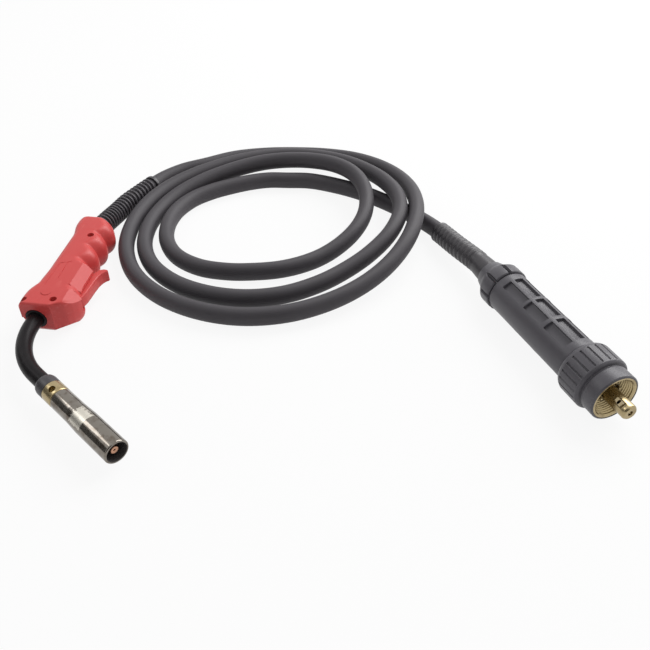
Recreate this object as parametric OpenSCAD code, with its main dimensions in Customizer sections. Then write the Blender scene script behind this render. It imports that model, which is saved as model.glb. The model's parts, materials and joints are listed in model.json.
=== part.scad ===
// Gas-cooled MIG welding torch with its cable coiled beside it and a central connector.
// The torch lies on the flat side of its handle. The origin is on that face, +Z is up,
// +Y runs from the nose towards the cable and +X points to the trigger side.

/* [Handle] */
// Thickness of the closed handle from side to side
handle_t = 34; // [32:0.5:38]
// Distance from the origin to the nose face
nose_len = 78; // [76:1:88]
// Distance from the origin to the rear end
rear_len = 65; // [64:1:72]
// Wall of the two mouldings
wall = 3; // [2.4:0.2:3.6]
// Radius along the back edges of the handle
back_edge_r = 7; // [5:0.5:9]
// Depth of the finger grooves
groove_depth = 4.8; // [3:0.2:6]
// Distance between two finger grooves
groove_pitch = 21.75; // [20:0.25:23]
// Shaft diameter of the handle screws
screw_d = 3.5; // [3:0.25:4]
// Head diameter of the handle screws
screw_head_d = 6; // [5.5:0.25:6.5]

/* [Trigger] */
// Width of the trigger
trigger_w = 12; // [9:0.5:14]
// Travel of the trigger in degrees
trigger_travel = 6; // [4:0.5:7]
// Diameter of the trigger's pivot pin
pivot_d = 3; // [2.5:0.25:4]
// Length of the switch block
switch_len = 20; // [16:1:22]
// Diameter of the switch plunger
plunger_d = 3; // [2:0.25:4]

/* [Swan neck] */
// Diameter of the brass neck tube
neck_tube_d = 10; // [8:0.5:11]
// Diameter over the neck's insulation
neck_d = 14; // [13:0.5:16]
// Bend angle of the neck
neck_bend = 54; // [30:1:60]
// Radius of the bend along the middle of the tube
neck_r = 72; // [60:1:85]
// Straight length after the bend, up to the front insulator
neck_front = 14; // [10:1:20]

/* [Nozzle] */
// Length of the front insulator
insulator_len = 12; // [8:1:14]
// Length of the tip holder's collar that shows
holder_len = 13; // [11:1:16]
// Diameter of the tip holder's collar
holder_d = 19.4; // [19:0.2:21]
// Length of the gas nozzle
nozzle_len = 77; // [74:1:90]
// Rear diameter of the gas nozzle
nozzle_rear_d = 19.4; // [19:0.2:21]
// Front diameter of the gas nozzle
nozzle_front_d = 21; // [21:0.2:23]
// Bore of the gas nozzle's front
nozzle_bore_d = 17.2; // [16:0.2:18]
// Diameter of the contact tip
tip_d = 8; // [7:0.25:9]
// Bore of the contact tip, for the welding wire
wire_bore_d = 1.4; // [1:0.1:2]
// How far the contact tip stays behind the nozzle's mouth
tip_setback = 3; // [1:0.5:6]

/* [Cable and strain relief] */
// Diameter of the torch cable
cable_d = 17; // [16:0.25:17]
// Outer diameter of the support spring
spring_d = 21.4; // [21:0.1:22]
// Wire of the support spring
spring_wire_d = 1.8; // [1.4:0.1:1.9]
// Curls of the support spring
spring_curls = 22; // [16:1:26]
// Length of the collar at the spring's end
collar_len = 6; // [4:1:9]

/* [Connector] */
// Largest diameter of the union nut, over its ribs
nut_d = 49.6; // [48:0.2:54]
// Length of the union nut
nut_len = 43.5; // [42:0.5:48]
// Diameter of the smooth collar at the nut's mouth
nut_collar_d = 43.6; // [43:0.2:46]
// Grooves around the union nut
nut_grooves = 22; // [12:1:28]
// Bore of the brass insert that carries the nut's thread
insert_bore_d = 34.8; // [33:0.2:36]
// Diameter of the plug housing
housing_d = 39.4; // [38:0.2:41]
// Length of the plug housing behind the union nut
housing_len = 106.6; // [100:1:112]
// Depth of the pockets in the housing
pocket_depth = 3.1; // [2:0.1:3.6]
// Diameter over the lugs of the ring nut
ring_nut_d = 42.4; // [42:0.2:44]
// Lugs around the ring nut
ring_nut_lugs = 8; // [6:1:10]
// Diameter of the wire spigot
spigot_d = 13.4; // [11.5:0.1:14]
// How far the spigot reaches beyond the nut's mouth
spigot_reach = 17.5; // [15:0.1:26]
// Diameter of the sprung signal pins
pin_d = 2.2; // [1.6:0.1:2.4]
// Travel of the signal pins
pin_travel = 3; // [1:0.25:3]
// Ribs on the cable boot
boot_ribs = 11; // [8:1:12]

/* [Fits] */
// Radial clearance of pieces that turn or slide
run_gap = 0.06; // [0.04:0.01:0.08]
// Gap between pieces that are seated on each other
seat_gap = 0.3; // [0.2:0.05:0.4]

/* [Hidden] */
$fn = 48;

red = [0.77, 0.27, 0.27];
black_rubber = [0.16, 0.15, 0.16];
cable_grey = [0.33, 0.32, 0.33];
plug_grey = [0.30, 0.29, 0.31];
brass = [0.78, 0.66, 0.38];
copper = [0.80, 0.53, 0.40];
nickel = [0.75, 0.73, 0.68];
steel = [0.60, 0.60, 0.62];

mid = handle_t / 2;

// Trigger and switch
neck_x = -3.9;
block_w = 18;
side_x = 26;
pivot = [22, -57];
pivot_r = pivot_d / 2;
slot_w = trigger_w + 1;
slot_front = -55.5;
slot_rear = -12.4;
trigger_face = 18.5;
switch_mid = -38;
switch_top = 15;
switch_t = 10;
switch_back = neck_x + block_w / 2 + seat_gap;
plunger_reach = trigger_face - switch_top - seat_gap;

// Swan neck, from the handle to the front insulator
neck_start = -nose_len - 9;
neck_rear = -40;
neck_turn = neck_bend - 90;
block_len = 22;
block_y = -60;

// Pieces on the front of the neck, by their distance from the end of the bend
insulator_at = neck_front;
holder_at = insulator_at + insulator_len;
nozzle_at = holder_at + holder_len;
mouth_at = nozzle_at + nozzle_len;
seat_d = nozzle_rear_d - 4;
seat_len = 26;
step_at = nozzle_at + 21;
step_len = 15;
tip_at = mouth_at - tip_setback;
tip_seat = nozzle_at + seat_len + 10;

// Connector: distances behind the nut's mouth, along its axis
plug_turn = 30.6;
plug_x = 487.2;
plug_y = -114.3;
nut_rest = 38;
ring_rest = nut_len + housing_len + 4;
plug_tilt = asin((nut_d - ring_nut_d) / 2 / (ring_rest - nut_rest));
plug_z = nut_d / 2 + nut_rest * sin(plug_tilt) + 0.05;
housing_at = nut_len + 0.5;
housing_end = housing_at + housing_len;
ring_nut_end = housing_end + 30;
boot_rib_at = ring_nut_end + 21.5;
sleeve_r = 16.4;
sleeve_at = 27;
insert_len = 22;
insert_r = insert_bore_d / 2 + 2.6;
flange_at = 23;
face_at = 9;
body_r = 10.5;
cable_end_at = 120;
clip_at = 28.4;
clip_t = 1.6;
pin_offset = 8.4;
bush_len = 7;

// Route of the cable: the free stretches are points, the coil is a radius and a height
// for every eighth of a turn, running clockwise from coil_start
coil_x = 171;
coil_y = 121;
coil_start = 45;
coil_r = [142, 141, 150, 150, 151, 162, 162, 141, 123, 125, 127, 133, 122,
          136, 142, 124, 103, 101, 105, 96, 86, 94, 115, 106, 84, 81];
coil_z = [10, 10, 19.5, 29.6, 15, 9.5, 9.5, 12, 14.5, 17, 24, 29.2, 13.5,
          9.8, 9.5, 9.5, 17, 24.5, 29.6, 22, 10, 9.5, 9.5, 9.5, 9.5, 9.5];
coil_rings = 24;
torch_lead = [
  [neck_x, 24, mid], [neck_x, 41, mid], [-2.6, 55, mid], [0.7, 70, mid], [4, 86, 16.6],
  [7, 101, 15.8], [10, 121, 14.5], [15.5, 143, 12.5], [22, 164, 11], [32, 185, 10.3],
  [48.5, 205.5, 10]
];
plug_lead = [
  [196, 204.5, 9.4], [222, 200, 9.3], [251, 190.5, 9.3], [279, 176, 9.3], [304, 159.5, 9.3],
  [327, 140, 10], [345.5, 118, 12.3], [364, 90, 15.6],
  on_axis(boot_rib_at), on_axis(ring_nut_end), on_axis(165), on_axis(140), on_axis(cable_end_at)
];
oval = 0.93;
coil_points = [for (i = [0 : coil_rings * (len(coil_r) - 1) / 8]) coil_point(i * 360 / coil_rings)];
route = concat(torch_lead, coil_points, plug_lead);
lead_end = len(torch_lead);
coil_end = lead_end + len(coil_points) - 1;
spring_from = 2.25;
spring_to = 8;
boot_rear = coil_end + 7.06;
boot_front = coil_end + 9.1;

// ---- curves ----

// Smooth curve through b and c, with a before them and d after them
function bend(a, b, c, d, t) =
  0.5 * (2 * b + (c - a) * t + (2 * a - 5 * b + 4 * c - d) * t * t + (3 * b - a - 3 * c + d) * t * t * t);
function pick(list, i) = list[max(0, min(len(list) - 1, i))];
function along(list, u) =
  let (i = max(0, min(len(list) - 2, floor(u))))
  bend(pick(list, i - 1), list[i], list[i + 1], pick(list, i + 2), u - i);
function unit(v) = v / norm(v);
function heading(list, u) = unit(along(list, min(u + 0.02, len(list) - 1)) - along(list, max(u - 0.02, 0)));
function coil_point(turn) =
  let (r = along(coil_r, turn / 45), z = max(along(coil_z, turn / 45), cable_d / 2 / oval + 0.05), a = coil_start + turn)
  [coil_x - r * cos(a), coil_y + r * sin(a), z];
// Point on the connector's axis, a distance behind the nut's mouth
function on_axis(s) = [
  plug_x - s * cos(plug_tilt) * sin(plug_turn),
  plug_y + s * cos(plug_tilt) * cos(plug_turn),
  plug_z - s * sin(plug_tilt)
];

// ---- tubes ----

// One ring of a tube: centre p, direction t, half width a, half height b
function ring(p, t, a, b, sides) =
  let (side = unit(cross(t, [0, 0, 1])), up = cross(side, t))
  [for (k = [0 : sides - 1]) p + a * cos(360 * k / sides) * side + b * sin(360 * k / sides) * up];
// Faces that join rings of the same number of sides, with or without flat ends
function strip(rings, sides, first = 0, flip = false) = [
  for (i = [0 : rings - 2], k = [0 : sides - 1])
    let (a = first + i * sides + k, b = first + i * sides + (k + 1) % sides, c = b + sides, d = a + sides)
    for (f = [[a, b, c], [a, c, d]]) flip ? [f[0], f[2], f[1]] : f
];
function fan(first, sides, flip = false) = [
  for (k = [1 : sides - 2]) flip ? [first, first + k + 1, first + k] : [first, first + k, first + k + 1]
];
module skin(rings) {
  sides = len(rings[0]);
  n = len(rings);
  polyhedron(
    points = [for (r = rings, p = r) p],
    faces = concat(strip(n, sides), fan(0, sides, true), fan((n - 1) * sides, sides)),
    convexity = 8
  );
}
// A tube with a bore: outer and inner rings in pairs
module bored_skin(outer, inner) {
  sides = len(outer[0]);
  n = len(outer);
  m = n * sides;
  far = (n - 1) * sides;
  polyhedron(
    points = concat([for (r = outer, p = r) p], [for (r = inner, p = r) p]),
    faces = concat(
      strip(n, sides),
      strip(n, sides, m, true),
      [for (k = [0 : sides - 1], e = [0, 1])
        let (j = (k + 1) % sides)
        e == 0 ? [k, m + j, j] : [k, m + k, m + j]],
      [for (k = [0 : sides - 1], e = [0, 1])
        let (j = (k + 1) % sides)
        e == 0 ? [far + k, far + j, m + far + j] : [far + k, m + far + j, m + far + k]]
    ),
    convexity = 8
  );
}

// ---- places ----

module at_mid() {
  translate([0, 0, mid]) children();
}
// Along the straight front of the neck, +Z forwards from the end of the bend
module on_neck_front() {
  translate([neck_x + neck_r * (1 - cos(neck_bend)), neck_start - neck_r * sin(neck_bend), mid])
    rotate([0, 0, neck_turn])
      rotate([0, 90, 0])
        children();
}
// Along the connector, +Z backwards from the nut's mouth and +Y up
module on_plug() {
  translate([plug_x, plug_y, plug_z])
    rotate([90 + plug_tilt, 0, 180 + plug_turn])
      children();
}
module tube(from, to, r, bore = 0) {
  translate([0, 0, from])
    difference() {
      cylinder(r = r, h = to - from);
      if (bore > 0)
        translate([0, 0, -1])
          cylinder(r = bore, h = to - from + 2);
    }
}
module spun(profile, angle = 360) {
  rotate_extrude(angle = angle, $fn = 72)
    polygon(profile);
}

// ---- handle ----

// Sections of the handle: [y, back edge, trigger-side edge, where the flat ends, squareness]
nose_sections = [
  [-nose_len, -17, 12, 8, 5], [-nose_len + 1.5, -18.3, 14, 10, 5], [-nose_len + 6, -18.7, 22, 14, 5],
  [-66, -18.9, 26.5, 18, 5], [-58, -18.2, 29.6, 20, 6], [-52, -16.2, 30, 20.5, 7],
  [-46, -13.8, side_x + 0.8, 18.5, 7], [-38, -12.6, side_x, 17.5, 7], [-25, -12.3, side_x, 17.5, 7],
  [-13, -12.3, side_x, 17.5, 7]
];
rear_sections = [
  [rear_len - 4, -15.3, 17.8, 4, 2], [rear_len - 1.8, -13.8, 15.2, 3, 2],
  [rear_len - 0.5, -12.2, 12.8, 2, 2], [rear_len, -10.8, 11.2, 1, 2]
];
finger_from = -11.4;
finger_to = rear_len - 8;
finger_tip = 6;
finger_steps = 24;
back_y = [-11, 30, 42, 52, 60];
function back_edge(y) = -12.3 - 3.8 * pow(sin(90 * max(0, min(1, (y - 30) / 22))), 2);
function finger_wave(y) = cos(360 * (y - finger_tip) / groove_pitch);
function finger_edge(y) = 20 + groove_depth / 2 * finger_wave(y);
finger_sections = [
  for (i = [0 : finger_steps])
    let (y = finger_from + (finger_to - finger_from) * i / finger_steps)
    [y, back_edge(y), finger_edge(y), 6 + 0.5 * groove_depth * finger_wave(y), 2 + 0.35 * finger_wave(y)]
];
sections = concat(nose_sections, finger_sections, rear_sections);
function power(v, p) = sign(v) * pow(abs(v), 2 / p);
// One section, drawn inside the outline by inset; ends are rounded over by drop
function section(s, inset, drop = 0) =
  let (h = mid - inset - drop, r = max(1, back_edge_r - inset), b = s[1] + inset, f = s[2] - inset)
  concat(
    [for (i = [0 : 16]) let (a = -90 + 180 * i / 16)
      [s[3] - inset + (f - s[3] + inset) * power(max(0, cos(a)), s[4]), s[0], h * power(sin(a), s[4])]],
    [for (i = [0 : 5]) let (a = 90 + 18 * i) [b + r + r * cos(a), s[0], h - r + r * sin(a)]],
    [for (i = [0 : 5]) let (a = 180 + 18 * i) [b + r + r * cos(a), s[0], r - h + r * sin(a)]]
  );
function end_drop(y) =
  y < 1.6 - nose_len ? (y > 0.1 - nose_len ? 0.3 : 1.3) : y > rear_len - 2 ? (y - rear_len + 2) * 1.2 : 0;
module handle_body() {
  at_mid()
    skin([for (s = sections) section(s, 0, end_drop(s[0]))]);
}
// The hollow of the handle, one wall inside the outline
core_sections = concat(
  [[-nose_len + wall, -17, 14, 10, 5]],
  [for (i = [2 : len(nose_sections) - 1]) nose_sections[i]],
  [for (i = [0 : 3 : finger_steps - 3]) finger_sections[i]],
  [[finger_to - 6, -15, 17.6, 3, 2]]
);
module handle_core() {
  at_mid()
    skin([for (s = core_sections) section([s[0], s[1], min(s[2], side_x + 1.5), s[3] - 1, s[4]], wall)]);
}
// Everything beyond a slanted plane on the trigger's side, above the middle
module beyond(from, to, reach) {
  translate([reach, from, 0])
    rotate([0, -45, 0])
      cube([60, to - from, 60]);
}
// Chamfers under the nose, on the lower half alone
underside_rise = 5;
underside_cut = 9.5;
module nose_underside() {
  translate([-60, -nose_len, underside_rise])
    rotate([-40, 0, 0])
      translate([0, -20, -30])
        cube([120, 60, 30]);
  at_mid()
    mirror([0, 0, 1])
      beyond(-nose_len - 2, -50, side_x + mid - underside_cut);
}
// Flat bevels between the side and the trigger's side
module bevel(from, to, reach) {
  for (m = [0, 1])
    mirror([0, 0, m])
      translate([reach, from, 0])
        rotate([0, -45, 0])
          cube([60, to - from, 60]);
}
module bevels() {
  at_mid() {
    bevel(-46, -14.5, side_x + mid - 8);
    bevel(-70.5, -53, side_x + mid - 4.7);
  }
}
module side_slot() {
  at_mid() {
    translate([trigger_face - 2, slot_front, -slot_w / 2])
      cube([20, slot_rear - slot_front, slot_w]);
    translate([21.6, slot_front, -slot_w / 2])
      cube([20, slot_rear - slot_front + 1.4, slot_w]);
  }
}
screw_places = [[7.5, rear_len - 34], [12, 9 - nose_len], [-14.6, 6 - nose_len]];
boss_r = screw_head_d / 2 + 1.5;
head_seat = mid + 10;
module screw_holes() {
  for (p = screw_places)
    translate([p[0], p[1], 0]) {
      translate([0, 0, mid - 11])
        cylinder(r = screw_d / 2 + run_gap, h = handle_t);
      translate([0, 0, head_seat])
        cylinder(r = screw_head_d / 2 + 0.25, h = handle_t);
    }
}
// Bores for the neck, the cable and its spring, and the pocket for the neck's block
module line_holes() {
  at_mid() {
    translate([neck_x, 0, 0])
      rotate([90, 0, 0]) {
        cylinder(r = neck_d / 2 + seat_gap, h = nose_len + 10);
        translate([0, 0, nose_len - 3.6])
          cylinder(r = neck_d / 2 + 2.9, h = 20);
      }
    translate([neck_x, -1, 0])
      rotate([-90, 0, 0])
        cylinder(r = 7.5, h = 26);
    translate([neck_x, 24, 0])
      rotate([-90, 0, 0])
        cylinder(r = cable_d / 2 + 0.6, h = 16);
    translate([neck_x + 1, 36, 0])
      rotate([-90, 0, -6])
        cylinder(r = cable_d / 2 + 1.2, h = 24);
    translate([-0.9, 57.2, 0])
      rotate([-90, 0, 0])
        cylinder(r = spring_d / 2 + 1, h = 40);
  }
}
module cradles() {
  for (y = [-nose_len + wall, block_y - 3.3, block_y + block_len + 0.3, 12, 40])
    translate([-30, y, -1])
      cube([62, 3, handle_t + 2]);
}
module block_pocket() {
  translate([neck_x - block_w / 2 - seat_gap, block_y - seat_gap, mid - block_w / 2 - seat_gap])
    cube([block_w + 2 * seat_gap, block_len + 2 * seat_gap, block_w + 2 * seat_gap]);
}
module switch_pocket() {
  translate([4, switch_mid - switch_len / 2 - seat_gap, mid - switch_t / 2 - seat_gap])
    cube([20, switch_len + 2 * seat_gap, switch_t + 2 * seat_gap]);
}
module keep_half(upper) {
  translate([-100, -150, upper ? mid : mid - 100])
    cube([200, 300, 100]);
}
// Ribs and bosses that fill part of the hollow
module inner_ribs() {
  intersection() {
    handle_core();
    union() {
      at_mid()
        for (m = [0, 1])
          mirror([0, 0, m])
            beyond(-nose_len, -12, side_x + mid - 12);
      difference() {
        cradles();
        translate([4.6, -100, -1])
          cube([40, 124, handle_t + 2]);
      }
      for (p = screw_places)
        translate([p[0], p[1], -1])
          cylinder(r = boss_r, h = handle_t + 2);
      for (m = [0, 1])
        translate([pivot[0], pivot[1], m == 0 ? -1 : mid + slot_w / 2])
          cylinder(r = pivot_r + 2, h = mid + 1 - slot_w / 2);
      difference() {
        translate([2, switch_mid - switch_len / 2 - 3, -1])
          cube([13, switch_len + 6, handle_t + 2]);
        translate([15, -100, mid - slot_w / 2])
          cube([20, 100, slot_w]);
      }
    }
  }
}
module shell(upper) {
  difference() {
    intersection() {
      handle_body();
      keep_half(upper);
    }
    bevels();
    difference() {
      handle_core();
      inner_ribs();
    }
    line_holes();
    block_pocket();
    switch_pocket();
    side_slot();
    screw_holes();
    translate([pivot[0], pivot[1], mid - 11])
      cylinder(r = pivot_r + 0.02, h = 22);
    translate([3.8, block_y + 12, mid - 2.2])
      cube([5.2, 46, 4.4]);
    if (!upper)
      nose_underside();
  }
}
module handle_shell_left() {
  color(red)
    difference() {
      shell(true);
      translate([1.7, -58.6, handle_t - 0.8])
        difference() {
          cylinder(r = 6.6, h = 2);
          translate([0, 1.8, -1])
            cylinder(r = 6.4, h = 4);
        }
    }
}
module handle_shell_right() {
  color(red)
    shell(false);
}
module handle_screws() {
  color(steel)
    for (p = screw_places)
      translate([p[0], p[1], 0]) {
        translate([0, 0, mid - 10.5])
          cylinder(r = screw_d / 2, h = head_seat - mid + 10.6);
        translate([0, 0, head_seat])
          difference() {
            cylinder(r = screw_head_d / 2, h = 2.6);
            translate([0, 0, 1.2])
              cylinder(r = screw_head_d / 4, h = 2, $fn = 6);
          }
      }
}
// Rubber ring where the neck leaves the nose
module neck_collar() {
  color(black_rubber)
    at_mid()
      translate([neck_x, -nose_len + 3.6, 0])
        rotate([90, 0, 0])
          spun([[neck_d / 2 + 0.1, 0.3], [neck_d / 2 + 2.6, 0.3], [neck_d / 2 + 2.6, 4],
                [neck_d / 2 + 1.8, 4.8], [neck_d / 2 + 0.1, 4.8]]);
}

// ---- trigger and switch ----

module trigger_outline() {
  polygon([
    [trigger_face, -52], [trigger_face, -59.5], [19.8, -61.4], [22.4, -61.4], [23.8, -59.6],
    [24, -57], [24, -55], [26, -53.6], [28.4, -50.4],
    [29.9, -44], [30.5, -36], [30.9, -28], [31.7, -20], [33.4, -14.4], [35.4, -11.2], [37.3, -9.6],
    [37.6, -8.2], [36.6, -6.9], [33, -6.6], [29.5, -8.2], [side_x + 1.2, -11], [side_x + 0.4, slot_rear - 1.6],
    [trigger_face + 1, slot_rear - 1.6], [trigger_face, slot_rear - 2.6]
  ]);
}
module trigger() {
  half = trigger_w / 2;
  edge = 1.6;
  color(red)
    at_mid()
      difference() {
        union() {
          translate([0, 0, -half + edge])
            linear_extrude(trigger_w - 2 * edge)
              trigger_outline();
          for (k = [1 : 3], m = [0, 1])
            mirror([0, 0, m])
              translate([0, 0, half - edge - 0.01])
                linear_extrude(edge * sin(30 * k))
                  offset(delta = -edge * (1 - cos(30 * k)))
                    trigger_outline();
        }
        translate([pivot[0], pivot[1], -half - 1])
          cylinder(r = pivot_r + run_gap, h = trigger_w + 2);
        // Light underside: a hollow behind the face, clear of the plunger's pad
        translate([trigger_face + 3, -30, -half + 2.5])
          cube([6, 13, trigger_w - 5]);
        translate([trigger_face - 1, -30, -half + 2.5])
          cube([5, 13, trigger_w - 5]);
      }
}
module trigger_pivot_pin() {
  color(steel)
    translate([pivot[0], pivot[1], mid - 10.8])
      cylinder(r = pivot_r, h = 21.6);
}
// Leaf spring that sits on the switch block and bears under the trigger's root
module trigger_return_spring() {
  color(steel)
    translate([switch_top + 0.1, switch_mid - switch_len / 2 + 0.5, mid - 3])
      union() {
        cube([0.4, 6, 6]);
        translate([0.3, 0, 0])
          rotate([0, 0, -4])
            cube([0.4, 7, 6]);
      }
}
module switch_body() {
  color(black_rubber)
    difference() {
      translate([switch_back, switch_mid - switch_len / 2, mid - switch_t / 2])
        cube([switch_top - switch_back, switch_len, switch_t]);
      translate([switch_top - 6, switch_mid, mid])
        rotate([0, 90, 0])
          cylinder(r = plunger_d / 2 + run_gap, h = 10);
    }
}
module switch_plunger() {
  color(steel)
    translate([switch_top - 3, switch_mid, mid])
      rotate([0, 90, 0])
        cylinder(r = plunger_d / 2, h = plunger_reach + 3);
}
// Pair of control wires from the switch back to the cable fitting
module switch_leads() {
  color(steel)
    for (m = [-1, 1])
      at_mid()
        translate([switch_back + 1.8 + m * 0.6, switch_mid + switch_len / 2, 0])
          rotate([-90, 0, 0])
            translate([0, m * 1.4, 0])
              cylinder(r = 0.5, h = 14 - switch_len / 2 + 18, $fn = 16);
}

// ---- neck ----

// A bent bar: straight in the handle, bent, and straight to the front. The bend is
// a hair thicker, and the straight pieces run a little way into it.
bend_extra = 0.02;
bend_lap = 0.3;
module bent_bar(r, rear, front) {
  translate([neck_x, neck_start - bend_lap, mid])
    rotate([-90, 0, 0])
      cylinder(r = r, h = rear - neck_start + bend_lap);
  translate([neck_x + neck_r, neck_start, mid])
    rotate([0, 0, 180])
      rotate_extrude(angle = neck_bend, $fn = 96)
        translate([neck_r, 0])
          circle(r = r + bend_extra);
  on_neck_front()
    translate([0, 0, -bend_lap])
      cylinder(r = r, h = front + bend_lap);
}
module neck_line(r, bore, rear, front) {
  difference() {
    bent_bar(r, rear, front);
    bent_bar(bore, rear + 1, front + 1);
  }
}
module neck_tube() {
  color(brass)
    neck_line(neck_tube_d / 2, neck_tube_d / 2 - 2.5, neck_rear, holder_at + 6);
}
module neck_insulation() {
  color(black_rubber)
    neck_line(neck_d / 2, neck_tube_d / 2, block_y - seat_gap, insulator_at + 3);
}
module neck_block() {
  color(brass)
    difference() {
      translate([neck_x - block_w / 2, block_y, mid - block_w / 2])
        cube([block_w, block_len, block_w]);
      translate([neck_x, neck_rear, mid])
        rotate([90, 0, 0])
          cylinder(r = neck_tube_d / 2, h = 40);
      translate([neck_x, 0, mid])
        rotate([90, 0, 0])
          cylinder(r = 2.5, h = 60);
    }
}
// Crimp fitting that joins the block to the cable
module cable_end_fitting() {
  color(brass)
    translate([neck_x, block_y + block_len, mid])
      rotate([-90, 0, 0])
        difference() {
          union() {
            cylinder(r = 5.5, h = 62);
            translate([0, 0, 50])
              cylinder(r = 7.2, h = 12);
            translate([0, 0, 0])
              cylinder(r = 7, h = 6, $fn = 6);
          }
          translate([0, 0, -1])
            cylinder(r = 2.5, h = 66);
        }
}

// ---- front end ----

module front_insulator() {
  r = holder_d / 2;
  color(black_rubber)
    on_neck_front()
      difference() {
        spun([[0, insulator_at], [r - 1.6, insulator_at], [r - 0.5, insulator_at + 1],
              [r, insulator_at + 3], [r, holder_at], [0, holder_at]]);
        tube(insulator_at - 1, insulator_at + 3, neck_d / 2);
        tube(insulator_at, holder_at + 1, neck_tube_d / 2);
      }
}
module tip_holder() {
  r = holder_d / 2;
  color(brass)
    on_neck_front()
      difference() {
        spun([[0, holder_at], [r, holder_at], [r, nozzle_at - 1], [r - 0.8, nozzle_at],
              [seat_d / 2, nozzle_at], [seat_d / 2, nozzle_at + seat_len], [5.5, nozzle_at + seat_len + 2],
              [5.5, tip_seat], [0, tip_seat]]);
        tube(holder_at - 1, holder_at + 6, neck_tube_d / 2);
        tube(holder_at, tip_seat + 1, 2.6);
        // Thread root of the contact tip
        tube(tip_seat - 8, tip_seat + 1, 3.2);
        // Groove of the spring ring
        difference() {
          tube(nozzle_at + 12, nozzle_at + 14, seat_d);
          tube(nozzle_at + 11, nozzle_at + 15, seat_d / 2 - 1.3);
        }
        // Gas holes in the collar
        for (a = [0, 120, 240])
          rotate([0, 0, a + 195])
            translate([4, 0, holder_at + holder_len / 2 + 0.8])
              rotate([0, 90, 0])
                cylinder(r = 3, h = 12);
      }
}
module nozzle_spring_ring() {
  color(steel)
    on_neck_front()
      translate([0, 0, nozzle_at + 13])
        rotate_extrude(angle = 330)
          translate([seat_d / 2 - 0.62, 0])
            circle(r = 0.6, $fn = 16);
}
module contact_tip() {
  r = tip_d / 2;
  color(copper)
    on_neck_front()
      difference() {
        spun([[0, tip_seat - 7], [3.15, tip_seat - 7], [3.15, tip_seat], [r, tip_seat],
              [r, tip_at - 3], [r - 0.9, tip_at], [0, tip_at]]);
        tube(tip_seat - 8, tip_at + 1, wire_bore_d / 2);
      }
}
module gas_nozzle() {
  rear_r = nozzle_rear_d / 2;
  front_r = nozzle_front_d / 2;
  bore_r = nozzle_bore_d / 2;
  color(nickel)
    on_neck_front()
      spun([[seat_d / 2 + run_gap, nozzle_at + 0.1], [rear_r, nozzle_at + 0.1], [rear_r, step_at],
            [front_r, step_at + step_len], [front_r, mouth_at - 0.8], [front_r - 0.6, mouth_at],
            [bore_r, mouth_at], [bore_r, nozzle_at + seat_len + 3],
            [seat_d / 2 + 0.4, nozzle_at + seat_len + 1], [seat_d / 2 + 0.4, nozzle_at + 11],
            [seat_d / 2 + run_gap, nozzle_at + 10]]);
}

// ---- cable, spring and boot ----

// Half sizes of the cable: round in the spring and the boot's front, pressed oval in the coil
function lead_shape(u) = max(0, min(1, u - 8));
function cable_ring(u, sides, k) =
  let (r = cable_d / 2)
  ring(along(route, u), heading(route, u), r * (1 - k * (1 - oval)), r * (1 - k + k / oval), sides);
module cable_torch_lead() {
  color(cable_grey)
    skin([for (u = [0 : 0.5 : lead_end]) cable_ring(u, 8, lead_shape(u))]);
}
module cable_coil() {
  color(cable_grey)
    skin([for (u = [lead_end : coil_end]) cable_ring(u, 6, 1)]);
}
plug_stations = concat(
  [for (u = [coil_end : 0.5 : coil_end + 6.5]) u],
  [for (u = [coil_end + 7 : 0.25 : coil_end + 10]) u],
  [for (u = [coil_end + 11 : len(route) - 1]) u]
);
module cable_plug_lead() {
  color(cable_grey)
    skin([for (u = plug_stations) cable_ring(u, 8, 1)]);
}
// Rings of the spring's wire around the cable
spring_r = (spring_d - spring_wire_d) / 2;
curl_rings = 8;
spring_points = [
  for (i = [0 : spring_curls * curl_rings])
    let (
      u = spring_from + (spring_to - spring_from) * i / (spring_curls * curl_rings),
      a = 360 * i / curl_rings,
      t = heading(route, u),
      side = unit(cross(t, [0, 0, 1])),
      up = cross(side, t)
    )
    along(route, u) + spring_r * (cos(a) * side + sin(a) * up)
];
module cable_support_spring() {
  n = len(spring_points);
  color(black_rubber)
    skin([
      for (i = [0 : n - 1])
        let (
          u = spring_from + (spring_to - spring_from) * i / (n - 1),
          t = unit(spring_points[min(n - 1, i + 1)] - spring_points[max(0, i - 1)]),
          out = unit(spring_points[i] - along(route, u)),
          across = unit(cross(t, out)),
          off = cross(across, t)
        )
        [for (k = [0 : 5]) spring_points[i]
          + spring_wire_d / 2 * (cos(60 * k) * off + sin(60 * k) * across)]
    ]);
}
module at_route(u) {
  t = heading(route, u);
  translate(along(route, u))
    rotate([0, acos(t[2]), atan2(t[1], t[0])])
      children();
}
module spring_end_collar() {
  r = spring_d / 2;
  color(black_rubber)
    at_route(spring_to)
      translate([0, 0, spring_wire_d / 2 + seat_gap])
        spun([[cable_d / 2 + seat_gap, 0], [r, 0], [r, collar_len - 2], [r - 1, collar_len],
              [cable_d / 2 + seat_gap, collar_len]]);
}
boot_r = 10.9;
boot_groove_r = 10.3;
boot_bore_r = 9.6;
module cable_boot() {
  step = (boot_front - boot_rear) / (2 * boot_ribs);
  stations = [for (i = [0 : 2 * boot_ribs]) boot_rear + step * i];
  color(black_rubber) {
    bored_skin(
      [for (i = [0 : len(stations) - 1])
        let (u = stations[i], r = i % 2 == 0 ? boot_r : boot_groove_r)
        ring(along(route, u), heading(route, u), r, r, 8)],
      [for (u = stations) ring(along(route, u), heading(route, u), boot_bore_r, boot_bore_r + 0.2, 8)]
    );
    on_plug()
      difference() {
        spun([[0, boot_rib_at], [10.4, boot_rib_at], [10.9, boot_rib_at - 8],
              [11.9, ring_nut_end], [11.9, housing_end + 10.4], [13, housing_end + 10.4],
              [13, housing_end + 7], [0, housing_end + 7]]);
        tube(housing_end, boot_rib_at + 1, boot_bore_r + 0.2);
      }
  }
}

// ---- connector ----

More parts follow.
